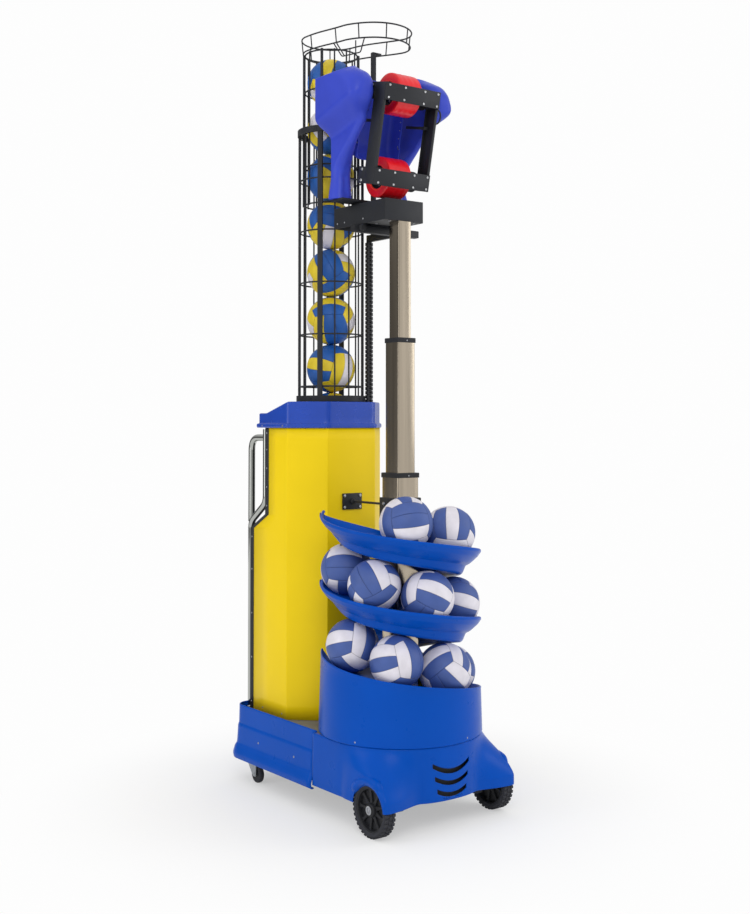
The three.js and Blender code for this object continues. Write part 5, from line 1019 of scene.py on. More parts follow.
# Three tubes that slide in each other, their collars, and the sleeve with its bolts
def makeMast():
    for stage, body, replaced in (("low", "frame", "mast_outer"), ("mid", "middle_stage", "mast_middle"),
                                  ("top", "carriage", "mast_inner")):
        makePiece("mast_" + stage, body, [squareTube(*mast[stage])], "stainless", replaces=[replaced])
    makePiece("collar_low", "frame", [collar("low", "mid")], "blackPlastic", replaces=["lower_mast_collar"])
    makePiece("collar_high", "middle_stage", [collar("mid", "top")], "blackPlastic", replaces=["upper_mast_collar"])
    half, low, top = mast["sleeveHalf"], mast["sleeveLow"], mast["sleeveTop"]
    sleeve = squareRings([(53, 3, low), (half, 4, low), (half, 4, top - 2), (half - 1.5, 4, top), (53, 3, top)])
    makePiece("sleeve", "frame", [sleeve], "blackPaint", replaces=["mast_sleeve"])
    bolts = []
    for z in mast["sleeveBolts"]:
        for x in mast["boltX"]:
            bolts += hexBolt((x, mastY - half, z), (0, -1, 0)) + hexBolt((-half, mastY + x, z), (-1, 0, 0))
    makePiece("sleeve_bolts", "frame", bolts, "zinc")
    for name, body, stage in (("mast_screws", "frame", "low"), ("mast_screw_high", "middle_stage", "mid")):
        place = (0, mastY - mast[stage][0] - 3, mast[stage][3] - 8)
        makePiece(name, body, [screwHead(place, (0, -1, 0), 3, 1.6)], "zinc")

makeMast()
print("mast ready")

# Ball cage, hand-over basket and drag chain

cage = {"y": 244.9962, "railWide": 22, "railDeep": 12, "upperRailRadius": 6.2, "wire": 7.0, "ringPitch": 222,
        "middle": {"rail": 136, "wire": 132, "low": 1450, "top": 2800},
        "upper": {"rail": 117.5, "wire": 113, "low": 2470, "top": 3134.5},
        "rails": (35, 145, 215, 325), "wires": (0, 90, 180, 270, 62, 118, 242, 298),
        "guideScrews": (20, 110, 200, 290), "clamps": (205, 265, 25)}

# A point on a circle round the cage's axis
def onCage(radius, degrees, z):
    turn = math.radians(degrees)
    return arr([math.cos(turn) * radius, cage["y"] + math.sin(turn) * radius, z])

# The level direction of a turn
def heading(degrees):
    turn = math.radians(degrees)
    return arr([math.cos(turn), math.sin(turn), 0])

# A flat bar standing on the cage's circle, its corners rounded
def flatBar(radius, degrees, z0, z1, wide, deep):
    out, side = heading(degrees), heading(degrees + 90)
    section = roundedRectangle(wide / 2, deep / 2, 2.4, 2)
    rows = []
    for z, shrink in ((z0, 0.9), (z0 + 0.8, 1), (z1 - 0.8, 1), (z1, 0.9)):
        rows.append(onCage(radius, degrees, z) + section[:, 0:1] * side * shrink + section[:, 1:2] * out * shrink)
    return capped(rows)

# A level wire circle round the cage's axis
def hoopRing(radius, z):
    path = [onCage(radius, degrees, z) for degrees in np.arange(72) * 5]
    return tube(path, cage["wire"] / 2, 8, closed=True)

# A rectangle with eased corners turned round the cage's axis
def bandRing(inner, outer, z0, z1):
    e = 0.9
    profile = [[inner, z0 + e], [inner + e, z0], [outer - e, z0], [outer, z0 + e], [outer, z1 - e],
               [outer - e, z1], [inner + e, z1], [inner, z1 - e]]
    return revolve(profile, (0, cage["y"], 0), sides=72)

# Plates over a band's joints, each with two screws
def bandClamps(radius, z):
    chunks = []
    for degrees in cage["clamps"]:
        chunks.append(flatBar(radius - 3, degrees, z - 11, z + 11, 26, 9))
        for dz in (-5.5, 5.5):
            chunks.append(screwHead(onCage(radius + 1.3, degrees, z + dz), heading(degrees), 3.2, 1.8))
    return chunks

# The upright wires of one basket
def wireRods(part, top):
    return [rod(onCage(part["wire"], a, part["low"]), onCage(part["wire"], a, top), cage["wire"] / 2, 10)
            for a in cage["wires"]]

# Rails, wires, hoops and bands of both baskets, and the guide round the middle one
def makeCages():
    guide = [bandRing(144.6, 149.4, 1624.3, 1650.2)]
    guide += [screwHead(onCage(149.2, a, 1637), heading(a), 4, 1.8) for a in cage["guideScrews"]]
    makePiece("guide_band", "frame", guide, "blackPlastic", replaces=["cage_guide_ring"])
    part = cage["middle"]
    middle = [flatBar(part["rail"], a, part["low"], part["top"] - 1, cage["railWide"], cage["railDeep"])
              for a in cage["rails"]]
    middle += wireRods(part, part["top"] - 2)
    rings = np.arange(part["top"] - cage["ringPitch"], part["low"], -cage["ringPitch"])
    middle += [hoopRing(part["wire"] + 1, z) for z in [*rings, part["low"] + 5]]
    middle.append(bandRing(131, 145.8, part["top"] - 26, part["top"]))
    middle += bandClamps(145.6, part["top"] - 13)
    # rows of shallow holes down the rails
    dimple = [[2.6, -0.3], [2.6, 0.35], [2.0, 0.5], [1.9, 0.2], [0.05, 0.15]]
    for a in cage["rails"]:
        for z in np.arange(1500, 2760, 36):
            middle.append(revolve(dimple, onCage(part["rail"] + 5.9, a, z), heading(a), 10, closed=False))
    makePiece("middle_basket", "middle_cage", middle, "blackPaint", replaces=["cage_middle"])
    part = cage["upper"]
    upper = [rod(onCage(part["rail"], a, part["low"]), onCage(part["rail"], a, part["top"]),
                 cage["upperRailRadius"], 16) for a in cage["rails"]]
    upper += wireRods(part, part["top"])
    upper += [hoopRing(part["wire"] + 0.5, z) for z in np.linspace(part["low"] + 5, part["top"] - 5, 5)]
    makePiece("upper_basket", "carriage", upper, "blackPaint", replaces=["cage_upper"])

hoop = {"top": 3197, "low": 3137.9, "rear": 128, "front": 156, "frontY": -66, "inset": 6, "wire": 3.2, "thin": 2.6,
        "tilt": 44, "fallFrom": 300, "fallRun": 480, "guardDrop": 54, "guardHalf": 92}

# The whole hoop falls towards its front: z = level - tilt * S((fallFrom - y) / fallRun)
def hoopFall(points):
    points = arr(points)
    points[:, 2] -= hoop["tilt"] * smoothStep((hoop["fallFrom"] - points[:, 1]) / hoop["fallRun"])
    return points

# Two half circles joined by straight sides, then let fall towards the front
def hoopPath(inset, z):
    def arc(radius, y, start):
        turn = np.linspace(start, start + math.pi, 26)
        return np.column_stack([np.cos(turn) * radius, y + np.sin(turn) * radius, np.full(26, z)])
    def straight(a, b):
        return a + (b - a) * np.linspace(0, 1, 10)[1:-1, None]
    back = arc(hoop["rear"] - inset, cage["y"], 0)
    ahead = arc(hoop["front"] - inset, hoop["frontY"], math.pi)
    return hoopFall(np.vstack([back, straight(back[-1], ahead[0]), ahead, straight(ahead[-1], back[0])]))

# Two closed wires, short uprights between them, and a guard
def makeHoops():
    upper = hoopPath(0, hoop["top"])
    lower = hoopPath(hoop["inset"], hoop["low"])
    chunks = [tube(path, hoop["wire"], 10, closed=True) for path in (upper, lower)]
    chunks += [rod(upper[k], lower[k], hoop["thin"], 8) for k in range(2, len(upper), 6)]
    # a guard wire that hangs under the left side of the lower hoop
    front = hoop["front"] - hoop["inset"]
    half = hoop["guardHalf"]
    x = -math.sqrt(front * front - half * half)
    y0, y1 = hoop["frontY"] - half, hoop["frontY"] + half
    share = half / (cage["y"] - hoop["frontY"])
    rearX = -(front + (hoop["rear"] - hoop["front"]) * share)
    top, low = hoop["low"], hoop["low"] - hoop["guardDrop"]
    guard = rounded([(x, y0, top), (x, y0 + 27, low), (x, y1 - 27, low), (rearX, y1, top)], 9, 6)
    chunks.append(tube(hoopFall(guard), hoop["thin"], 10))
    for ends in (((x, y0 + 60, low), (x, y0 + 60, top)), ((x, y1 - 45, low), (rearX, y1 - 20, top))):
        chunks.append(tube(hoopFall(ends), hoop["thin"], 8))
    makePiece("hand_over_basket", "carriage", chunks, "blackPaint", replaces=["hoop_basket"])

chain = {"x": 118, "y": 127, "top": 2314.4, "pitch": 17.8, "count": 52, "half": 15, "gap": 2.2, "hole": 4.4,
         "deep": 8}

# A flat link: rings of points round its outline and round its hole, front and back
def makeChain():
    pitch, half, deep = chain["pitch"], chain["half"], chain["deep"]
    low, high = -pitch / 2, pitch / 2 - chain["gap"]
    outline = rounded([(-half, low), (half, low), (half, high), (-half, high)], 2.5, 3, True)
    ring = evenly(outline, 32)
    angle = np.arctan2(ring[:, 1], ring[:, 0])
    hole = np.column_stack([np.cos(angle), np.sin(angle)]) * chain["hole"]
    rings = ((ring * 0.96, -deep - 0.8), (ring, -deep), (ring, deep), (ring * 0.96, deep + 0.8), (hole, deep + 0.8),
             (hole, -deep - 0.8))
    x, y = chain["x"], chain["y"]
    chunks = []
    for k in range(chain["count"]):
        z = chain["top"] - pitch * (k + 0.5)
        rows = [np.column_stack([x + loop[:, 0], np.full(len(loop), y + depth), z + loop[:, 1]])
                for loop, depth in rings]
        chunks.append(grid(rows, closeRows=True))
        chunks.append(roundBox((x - 10.5, y - 6.5, z + high - 1), (x + 10.5, y + 6.5, z + pitch / 2 + 1), 0.8, 1))
    makePiece("energy_chain", "carriage", chunks, "blackPlastic", replaces=["drag_chain"])

makeCages()
makeHoops()
makeChain()
print("cage ready")

# Crossbeam, bracket and yoke

beam = {"half": 97, "wall": 4, "low": 2345.0, "high": 2431.0, "frontY": -268, "rearY": 85, "screwY": (-120, 10, 60)}
bracket = {"left": -120, "right": 214, "y": (-95, -65), "deep": 30, "postX": (109, 127), "postY": (87, 105),
           "top": 3134.5, "reachX": 156, "chainY": 136}

# An upturned channel section carried along Y, closed by a plate at each end, and its bracket
def makeBeam():
    half, wall, z0, z1 = beam["half"], beam["wall"], beam["low"], beam["high"]
    outer = rounded([(-half, z0), (-half, z1), (half, z1), (half, z0)], 5, 4)
    bore = half - wall
    inner = rounded([(bore, z0), (bore, z1 - wall), (-bore, z1 - wall), (-bore, z0)], 3, 4)
    section = np.vstack([outer, inner])
    front, rear = beam["frontY"], beam["rearY"]
    rows = [np.column_stack([section[:, 0], np.full(len(section), y), section[:, 1]])
            for y in np.linspace(front + 3, rear - 3, 8)]
    chunks = [grid(rows), roundBox((-half, front, z0), (half, front + 3.4, z1), 1.4),
              roundBox((-half, rear - 3.4, z0), (half, rear, z1), 1.4),
              roundBox((0.2 - bore, front + 4, z0), (bore - 0.2, -134, z0 + 4), 0.8, 1)]
    makePiece("box_beam", "carriage", chunks, "blackPaint", replaces=["crossbeam"])
    bolts = []
    for x in (-60, 60):
        for y in (-250, -160):
            bolts += hexBolt((x, y, z0), (0, 0, -1), 5, 3)
    for y in beam["screwY"]:
        bolts += [screwHead((side * half, y, z0 + 20), (side, 0, 0), 3.6, 2) for side in bothSides]
    makePiece("beam_bolts", "carriage", bolts, "zinc")
    top = z0 - 0.3
    low = top - bracket["deep"]
    left, right, (y0, y1) = bracket["left"], bracket["right"], bracket["y"]
    (x0, x1), (rearY0, rearY1), high = bracket["postX"], bracket["postY"], bracket["top"]
    arms = [roundBox((left, y0, low), (right, y1, top), 2.5), roundBox((x0, -80, low), (x1, bracket["chainY"], top)),
            roundBox((x0, rearY0, top - 4), (x1, rearY1, high)),
            roundBox((118, rearY0, high - 9), (bracket["reachX"], rearY1, high))]
    makePiece("cage_arm", "carriage", arms, "blackPaint", replaces=["cage_bracket"])
    ends = [roundBox((x, y0 + 1, low + 1), (x + 2.6, y1 - 1, top - 1), 1, 1) for x in (left - 1.6, right - 1)]
    makePiece("arm_caps", "carriage", ends, "blackPlastic")

# A knob with shallow lobes: radius = middle + lobe * cos(lobes * turn) along its grip
knob = {"place": (-96, -95.3, 2329.7), "radius": 14, "middle": 13.2, "lobe": 0.8, "lobes": 7, "points": 84,
        "profile": [(0.3, 0), (0.3, 8.6), (0.9, 9.4), (0.97, 10.6), (1, 12.4), (1, 25), (0.95, 27.4), (0.82, 28.6),
                    (0.4, 29), (0.02, 29)]}

def makeKnob():
    x, y, z = knob["place"]
    turn = np.arange(knob["points"]) / knob["points"] * tau
    lobes = knob["middle"] + knob["lobe"] * np.cos(knob["lobes"] * turn)
    rows = []
    for share, depth in knob["profile"]:
        radius = share * (lobes if share > 0.85 else np.full(len(turn), knob["radius"]))
        rows.append(np.column_stack([x + np.cos(turn) * radius, np.full(len(turn), y - depth),
                                     z + np.sin(turn) * radius]))
    makePiece("knob", "clamp_knob", [capped(rows)], "blackPlastic", replaces=["clamp_knob"])

turntable = {"y": -50, "low": 2431.3, "disc": 8, "plate": 8, "radius": 82, "half": 181, "halfY": 42, "boltX": 66,
             "boltY": 36, "bolts": 6}

# The disc that the yoke turns on, under a flat plate
def makeYokeBase():
    y, low, r = turntable["y"], turntable["low"], turntable["radius"]
    seat = low + turntable["disc"]
    top = seat + turntable["plate"]
    profile = [[0.05, low], [r - 0.8, low], [r, low + 0.8], [r, seat - 0.6], [r - 0.6, seat], [0.05, seat]]
    half, halfY = turntable["half"], turntable["halfY"]
    chunks = [revolve(profile, (0, y, 0), sides=64, closed=False),
              roundBox((-half, y - halfY, seat), (half, y + halfY, top), 1.5)]
    makePiece("turntable", "yoke", chunks, "blackPaint", replaces=["yoke_base"])
    bolts = []
    for k in range(turntable["bolts"]):
        a = tau * (k + 0.5) / turntable["bolts"]
        place = (math.cos(a) * turntable["boltX"], y + math.sin(a) * turntable["boltY"], top)
        bolts += hexBolt(place, (0, 0, 1), 5, 3.2)
    makePiece("turntable_bolts", "yoke", bolts, "zinc")

# Yoke covers: level sections from a narrow leg up to a full shell, ended by a top that falls outward
# outer(y, z) = leg + (full - leg) * S((z - crease(y) + 25) / 70)

cover = {"low": 2447.7, "rear": -8, "rearRound": 9, "legInner": 110, "legOuter": 183, "inner": 148, "outer": 262,
         "ridge": 2979, "fall": 0.4, "barrel": 34, "edge": 40, "panelLow": 2458, "panelTop": 2546, "panelDepth": 3.5,
         "flare": 12, "flareHeight": 90, "soften": 5}
# Where the front face stands at each height
coverFront = {2447: -62, 2560: -62, 2580: -66, 2612: -90, 2648: -128, 2690: -170, 2712: -190, 2742: -222,
              2771: -230, 2787: -250, 2812: -272, 2844: -281, 2891: -277, 2925: -250, 2953: -190, 2980: -148}
# Above the widest level the side face's front edge steps back faster than the front does
coverStep = {2831: 0, 2900: 34, 2927: 48, 2940: 70, 2980: 76}

# A table's value at a height, straight between its levels
def along(z, table):
    return float(np.interp(z, list(table), list(table.values())))

def coverOuter(y, z):
    crease = np.interp(y, [-277, -36], [2792, 2720])
    return cover["legOuter"] + (cover["outer"] - cover["legOuter"]) * smoothStep((z - crease + 25) / 70)

# One level outline: outer side, front corner, front, inner side and rear, in that order
def coverSection(z):
    flare = cover["flare"] * float(1 - smoothStep((z - cover["low"]) / cover["flareHeight"]))
    front = along(z, coverFront) - flare
    rear, r = cover["rear"], cover["rearRound"]
    inner = cover["legInner"] + (cover["inner"] - cover["legInner"]) * float(smoothStep((z - 2580) / 110))
    side = min(along(z, coverStep) + cover["edge"], (rear - front) * 0.7)
    def line(a, b, shares):
        return arr(a) + (arr(b) - arr(a)) * arr(shares)[:, None]
    def arc(cx, cy, rx, ry, degrees):
        turn = np.radians(degrees)
        return np.column_stack([cx + np.cos(turn) * rx, cy + np.sin(turn) * ry])
    ys = np.linspace(rear - r, front + side, 18)
    corner = float(coverOuter(front + side, z)) + flare
    across = corner - inner
    cut = min(side * 0.8, across * 0.5)
    barrel = min(cover["barrel"], (rear - front) * 0.35, across * 0.35)
    end = float(coverOuter(rear, z)) + flare
    loop = np.vstack([
        np.column_stack([coverOuter(ys, z) + flare, ys]),
        arc(corner - cut, front + side, cut, -side, (6, 20, 36, 52, 68, 84)),
        line((corner - cut, front), (inner + barrel, front), (0.02, 0.1, 0.3, 0.5, 0.7, 0.9, 0.98)),
        arc(inner + barrel, front + barrel, barrel, barrel, np.linspace(270, 180, 9)),
        line((inner, front + barrel), (inner, rear - r), np.linspace(0.06, 0.97, 12)),
        arc(inner + r, rear - r, r, r, np.linspace(180, 90, 5)),
        line((inner + r, rear), (end - r, rear), np.linspace(0.05, 0.95, 5)),
        arc(end - r, rear - r, r, r, np.linspace(90, 8, 5))])
    # a shallow sunk panel on the leg's front
    if cover["panelLow"] < z < cover["panelTop"]:
        sunk = (loop[:, 1] < front + 0.01) & (loop[:, 0] > 140) & (loop[:, 0] < 177)
        loop[sunk, 1] += cover["panelDepth"]
    return loop

# crown(x) = ridge - fall * distance outward from the inner side
def coverCrown(x):
    return cover["ridge"] - cover["fall"] * (np.clip(x, cover["inner"], cover["outer"]) - cover["inner"])

# Each column of the wall climbs to the height at which it meets the sloping top
def makeCoverShell():
    low, ridge = cover["low"], cover["ridge"]
    reach = coverCrown(coverSection(ridge - 20)[:, 0])
    marks = [cover["panelLow"] - 0.5, cover["panelLow"] + 1.5, cover["panelTop"] - 1.5, cover["panelTop"] + 0.5]
    shares = sorted(set(np.linspace(0, 0.985, 72)) | {(mark - low) / (ridge - low) for mark in marks})
    rows = []
    for share in shares + [0.993, 0.998]:
        heights = low + (reach - low) * share
        levels, which = np.unique(heights.round(1), return_inverse=True)
        sections = arr([coverSection(float(level)) for level in levels])
        rows.append(np.column_stack([sections[which, np.arange(len(heights))], heights]))
    # creases are softened: every inner point moves towards the mean of its four neighbours
    wall = arr(rows)
    for _ in range(cover["soften"]):
        near = (np.roll(wall, 1, axis=1) + np.roll(wall, -1, axis=1))[1:-1] + wall[:-2] + wall[2:]
        wall[1:-1] = wall[1:-1] * 0.5 + near * 0.125
    rows = list(wall)
    rim = rows[-1][:, :2]
    middle = arr([(cover["inner"] + cover["outer"]) / 2, (rim[:, 1].min() + rim[:, 1].max()) / 2])
    for share, drop in ((0.012, 0.35), (0.035, 0.05), (0.1, 0), (0.25, 0), (0.45, 0), (0.65, 0), (0.85, 0)):
        flat = rim + (middle - rim) * share
        rows.append(np.column_stack([flat, coverCrown(flat[:, 0]) - drop]))
    return capped(rows)

# The left cover is the right one mirrored
def makeCovers():
    shell = makeCoverShell()
    for name, chunk in (("right", shell), ("left", mirrored(shell))):
        makePiece(name + "_cover", "yoke", [chunk], "headBlue", replaces=[name + "_yoke_cover"], sharp=40)

makeBeam()
makeKnob()
makeYokeBase()
makeCovers()
print("yoke ready")

# Launching head, drawn upright about its pivot and then tipped

head = {"pivotY": -225.0, "pivotZ": 2848.0, "tip": 12.0, "upper": 14.0, "lower": -321.0, "wheelY": -4.0, "half": 140,
        "frontY": -100, "plateHalf": 34, "screwX": (-120, -42, 58, 126), "pinRadius": 22}

# Chunks moved to the pivot and tipped about it
def inHead(chunks):
    out = []
    for chunk in chunks:
        if isinstance(chunk, list):
            out += inHead(chunk)
        else:
            chunk = moved(chunk, (0, head["pivotY"], head["pivotZ"]))
            out.append(turnedX(chunk, head["tip"], head["pivotY"], head["pivotZ"]))
    return out

# Two cross plates in front, a channel on each side, and a trunnion on each channel
def makeHeadFrame():
    half, front, plateHalf = head["half"], head["frontY"], head["plateHalf"]
    levels = (head["upper"], head["lower"])
    chunks, bolts = [], []
    for z in levels:
        chunks.append(roundBox((-half, front, z - plateHalf), (half, front + 5, z + plateHalf), 1.6))
        for x in head["screwX"]:
            for dz in (-24, 24):
                bolts.append(screwHead((x, front, z + dz), (0, -1, 0), 4.6, 2.4, sides=16))
    for side in bothSides:
        # a channel on each side: its web, its two flanges, and the ends that carry the axles
        chunks.append(sideBox(side, (half - 3.4, -94.8, -354.6), (half, -27, 47.6), 1.2))
        for y in (-94.6, -30.6):
            chunks.append(sideBox(side, (127.2, y, -286), (139.4, y + 3.4, -21), 1.2))
        for z in levels:
            chunks.append(sideBox(side, (127.6, -94.4, z - 33.4), (139.5, 13.6, z + 33.4), 1.6))
            for dz in (22, -22):
                bolts += hexBolt((side * half, -10, z + dz), (side, 0, 0), 5, 3.2)
    makePiece("launch_frame", "head", inHead(chunks), "blackPaint", replaces=["head_frame"])
    makePiece("launch_frame_bolts", "head", inHead(bolts), "paleSteel")
    pins = []
    for side in bothSides:
        start = min(side * 140.3, side * 159.7)
        pins.append(disc(head["pinRadius"], 0, 19.4, 0.8, (start, head["pivotY"], head["pivotZ"]), acrossX, 40))
    makePiece("trunnions", "head", pins, "greySteel", replaces=["left_pitch_pin", "right_pitch_pin"])

# The chute is one U section carried down a back that turns forward at its foot
chute = {"rear": 164.0, "floor": -257.5, "lip": 89.0, "top": 70.0, "half": 108, "wall": 3.5, "straight": 16,
         "bend": 20}

def makeChute():
    rear, half, wall, straight = chute["rear"], chute["half"], chute["wall"], chute["straight"]
    radius = rear - chute["lip"]
    path = [(0, rear, z) for z in np.linspace(chute["top"], chute["floor"] + radius, straight)]
    path += [(0, rear - radius + math.cos(t) * radius, chute["floor"] + radius + math.sin(t) * radius)
             for t in np.linspace(0, -math.pi / 2, chute["bend"])[1:]]
    path = arr(path)
    deep = radius - 1
    outer = rounded([(-half, deep), (-half, 0), (half, 0), (half, deep)], 26, 7)
    bore = half - wall
    inner = rounded([(bore, deep), (bore, wall), (-bore, wall), (-bore, deep)], 23, 7)
    section = np.vstack([outer, inner])
    rows = []
    for k, place in enumerate(path):
        a, b = path[max(k - 1, 0)], path[min(k + 1, len(path) - 1)]
        inward = np.cross(arr(acrossX), (b - a) / np.linalg.norm(b - a))
        if inward[1] > 0.01 or (abs(inward[1]) <= 0.01 and inward[2] < 0):
            inward = -inward
        depth = section[:, 1:2]
        if k >= straight:
            depth = np.minimum(depth, radius - 1.5)
        rows.append(place + section[:, 0:1] * arr(acrossX) + depth * inward)
    chunks = [grid(rows)]
    # rolled edges at both ends, and the arms that hold the chute to the frame
    for row in (rows[0], rows[-1]):
        chunks.append(tube(row[:len(outer)] * 0.5 + row[len(outer):][::-1] * 0.5, 2.2, 8))
    for side in bothSides:
        chunks.append(sideBox(side, (106, -63, -107), (126.4, -28, -95), 2, m=1))
        chunks.append(sideBox(side, (104.4, -40, -107), (108, 60, -95), 1.4, m=1))
    rivets = []
    for k in range(1, len(path) - 1, 2):
        for at, out in ((rows[k][0], arr([-1, 0, 0])), (rows[k][len(outer) - 1], arr([1, 0, 0]))):
            inside = (path[k] - at) * [0, 1, 1]
            spot = at + inside / max(np.linalg.norm(inside), 1) * 9
            for place, face in ((spot, out), (spot - out * wall, -out)):
                rivets.append(screwHead(place, face, 2.8, 1.3, socket=False, sides=10))
    makePiece("chute", "head", inHead(chunks), ["headBlue", "blackPaint"], replaces=["ball_chute"], sharp=40)
    makePiece("chute_rivets", "head", inHead(rivets), "zinc")

# A urethane tyre with a fine wave on its tread, on a dished rim, on a hub
launch = {"half": 57, "radius": 83, "wave": 0.35, "waves": 24, "bolts": 5, "boltReach": 29, "shaft": 10,
          "shaftHalf": 133.5}

def makeLaunchWheels():
    w, r = launch["half"], launch["radius"]
    edge = [(47.8, 0), (r - 7, 0), (r - 3, 1.2), (r - 0.6, 3.6), (r, 8)]
    tyre = [[a, b - w] for a, b in edge]
    tyre += [[r + launch["wave"] * math.sin(t * launch["waves"]), -w + 8 + (2 * w - 16) * t]
             for t in np.linspace(0.02, 0.98, 25)]
    tyre += [[a, w - b] for a, b in edge[::-1]]
    # rings beside the tyre as radius and depth in from its side: the lip, the dish and the hub
    rings = [(56, 1, [(47.6, 0.4), (52, 0), (53.5, -0.2), (54, 0.6), (47.6, 9)]),
             (56, 2, [(10, 22), (40, 22), (46.8, 9), (48, 1), (47, 30), (10, 30)]),
             (32, 3, [(10, 22), (17, 22), (18, 20), (18, 8), (16, 6), (10, 6)])]
    for level, name in (("upper", "high"), ("lower", "low")):
        o = (0, head["wheelY"], head[level])
        chunks = [revolve(tyre, o, acrossX, 72)]
        for side in bothSides:
            for count, m, profile in rings:
                chunks.append(revolve([[a, side * (w - b)] for a, b in profile], o, acrossX, count, m=m))
            for k in range(launch["bolts"]):
                a = tau * k / launch["bolts"]
                reach = launch["boltReach"]
                at = (side * (w - 22), o[1] + math.cos(a) * reach, o[2] + math.sin(a) * reach)
                chunks += hexBolt(at, (side, 0, 0), 4.4, 3, m=3)
        half = launch["shaftHalf"]
        chunks.append(disc(launch["shaft"], -half, half, 1, o, acrossX, 24, m=3))
        makePiece("urethane_wheel_" + name, level + "_wheel", inHead(chunks),
                  ["redUrethane", "redRim", "blackPlastic", "paleSteel"], replaces=[level + "_launch_wheel"])

motor = {"bore": 10.7, "radius": 42, "near": 76.9, "far": 126.6, "fins": 8, "finFrom": 82, "finPitch": 4.6,
         "screws": 6, "screwReach": 32}

# A housing turned about the wheel's axis, its radius stepping in and out over the fins
def makeMotors():
    bore, r, near, far = motor["bore"], motor["radius"], motor["near"], motor["far"]
    profile = [[bore, near], [r - 4, near], [r - 1, near + 1.6]]
    for k in range(motor["fins"]):
        a = motor["finFrom"] + k * motor["finPitch"]
        profile += [[r, a - 1], [r, a + 1.2], [r - 3.2, a + 1.5], [r - 3.2, a + 3.1]]
    profile += [[r, 119.5], [r, far - 1.6], [r - 1.5, far], [bore, far]]
    for level, name in (("upper", "drive_high"), ("lower", "drive_low")):
        y, z = head["wheelY"], head[level]
        bolts = []
        for k in range(motor["screws"]):
            a = tau * (k + 0.3) / motor["screws"]
            place = (near, y + math.cos(a) * motor["screwReach"], z + math.sin(a) * motor["screwReach"])
            bolts.append(screwHead(place, (-1, 0, 0), 3, 2))
        housing = revolve(profile, (0, y, z), acrossX, 48)
        makePiece(name, "head", inHead([housing]), "blackPlastic", replaces=[level + "_wheel_motor"])
        makePiece(name + "_screws", "head", inHead(bolts), "zinc")

# Motor lead: leaves the right column, bows out along half a wave and comes back
lead = {"x": 140.3, "y": -86, "top": -22, "low": -78, "bow": 20, "radius": 3.4}

def makeLead():
    x, y, top, low = lead["x"], lead["y"], lead["top"], lead["low"]
    path = [(x, y, top)]
    for t in np.linspace(0, math.pi, 30):
        path.append((x + 3 + lead["bow"] * math.sin(t), y, top - (top - low) / 2 * (1 - math.cos(t))))
    path.append((x, y, low))
    sleeve = [[3.5, 0], [5.2, 0], [5.4, 0.6], [5.2, 3.4], [3.5, 4.2]]
    chunks = [tube(path, lead["radius"], 14)] + [revolve(sleeve, (x - 0.2, y, z), acrossX, 20) for z in (top, low)]
    makePiece("motor_lead", "head", inHead(chunks), "rubberBlack", replaces=["head_cable"])

makeHeadFrame()
makeChute()
makeLead()
makeLaunchWheels()
makeMotors()
print("head ready")

# Running gear

wheel = {"radius": 103.0, "half": 25.0, "x": 293.0, "y": -455.0, "blocks": 34, "blockHalf": 0.29, "spokes": 9}
# Half profiles as radius and distance in from the wheel's side
tyreEdge = [(81, 3), (86, 1), (92, 0), (97, 2.4), (99.2, 6)]
rimEdge = [(74.4, 12), (76, 7), (80.5, 4), (81.5, 5.5)]
hubEdge = [(10.4, 1), (20, 1), (24, 4), (26, 8)]
# Radius, half thickness and half width along a spoke
spoke = [(24, 9.2, 11), (34, 6.6, 10), (52, 5.2, 9), (68, 6.4, 9.5), (76.5, 9.0, 11)]
# Radius of a tread block's levels, and the share of its full size that each has
blockLevels = [(98.3, 1.0), (101.8, 0.97), (102.9, 0.84)]

# A half profile laid in from both sides of a wheel of that half width
def fromSides(edge, half):
    return [[r, d - half] for r, d in edge], [[r, half - d] for r, d in edge[::-1]]

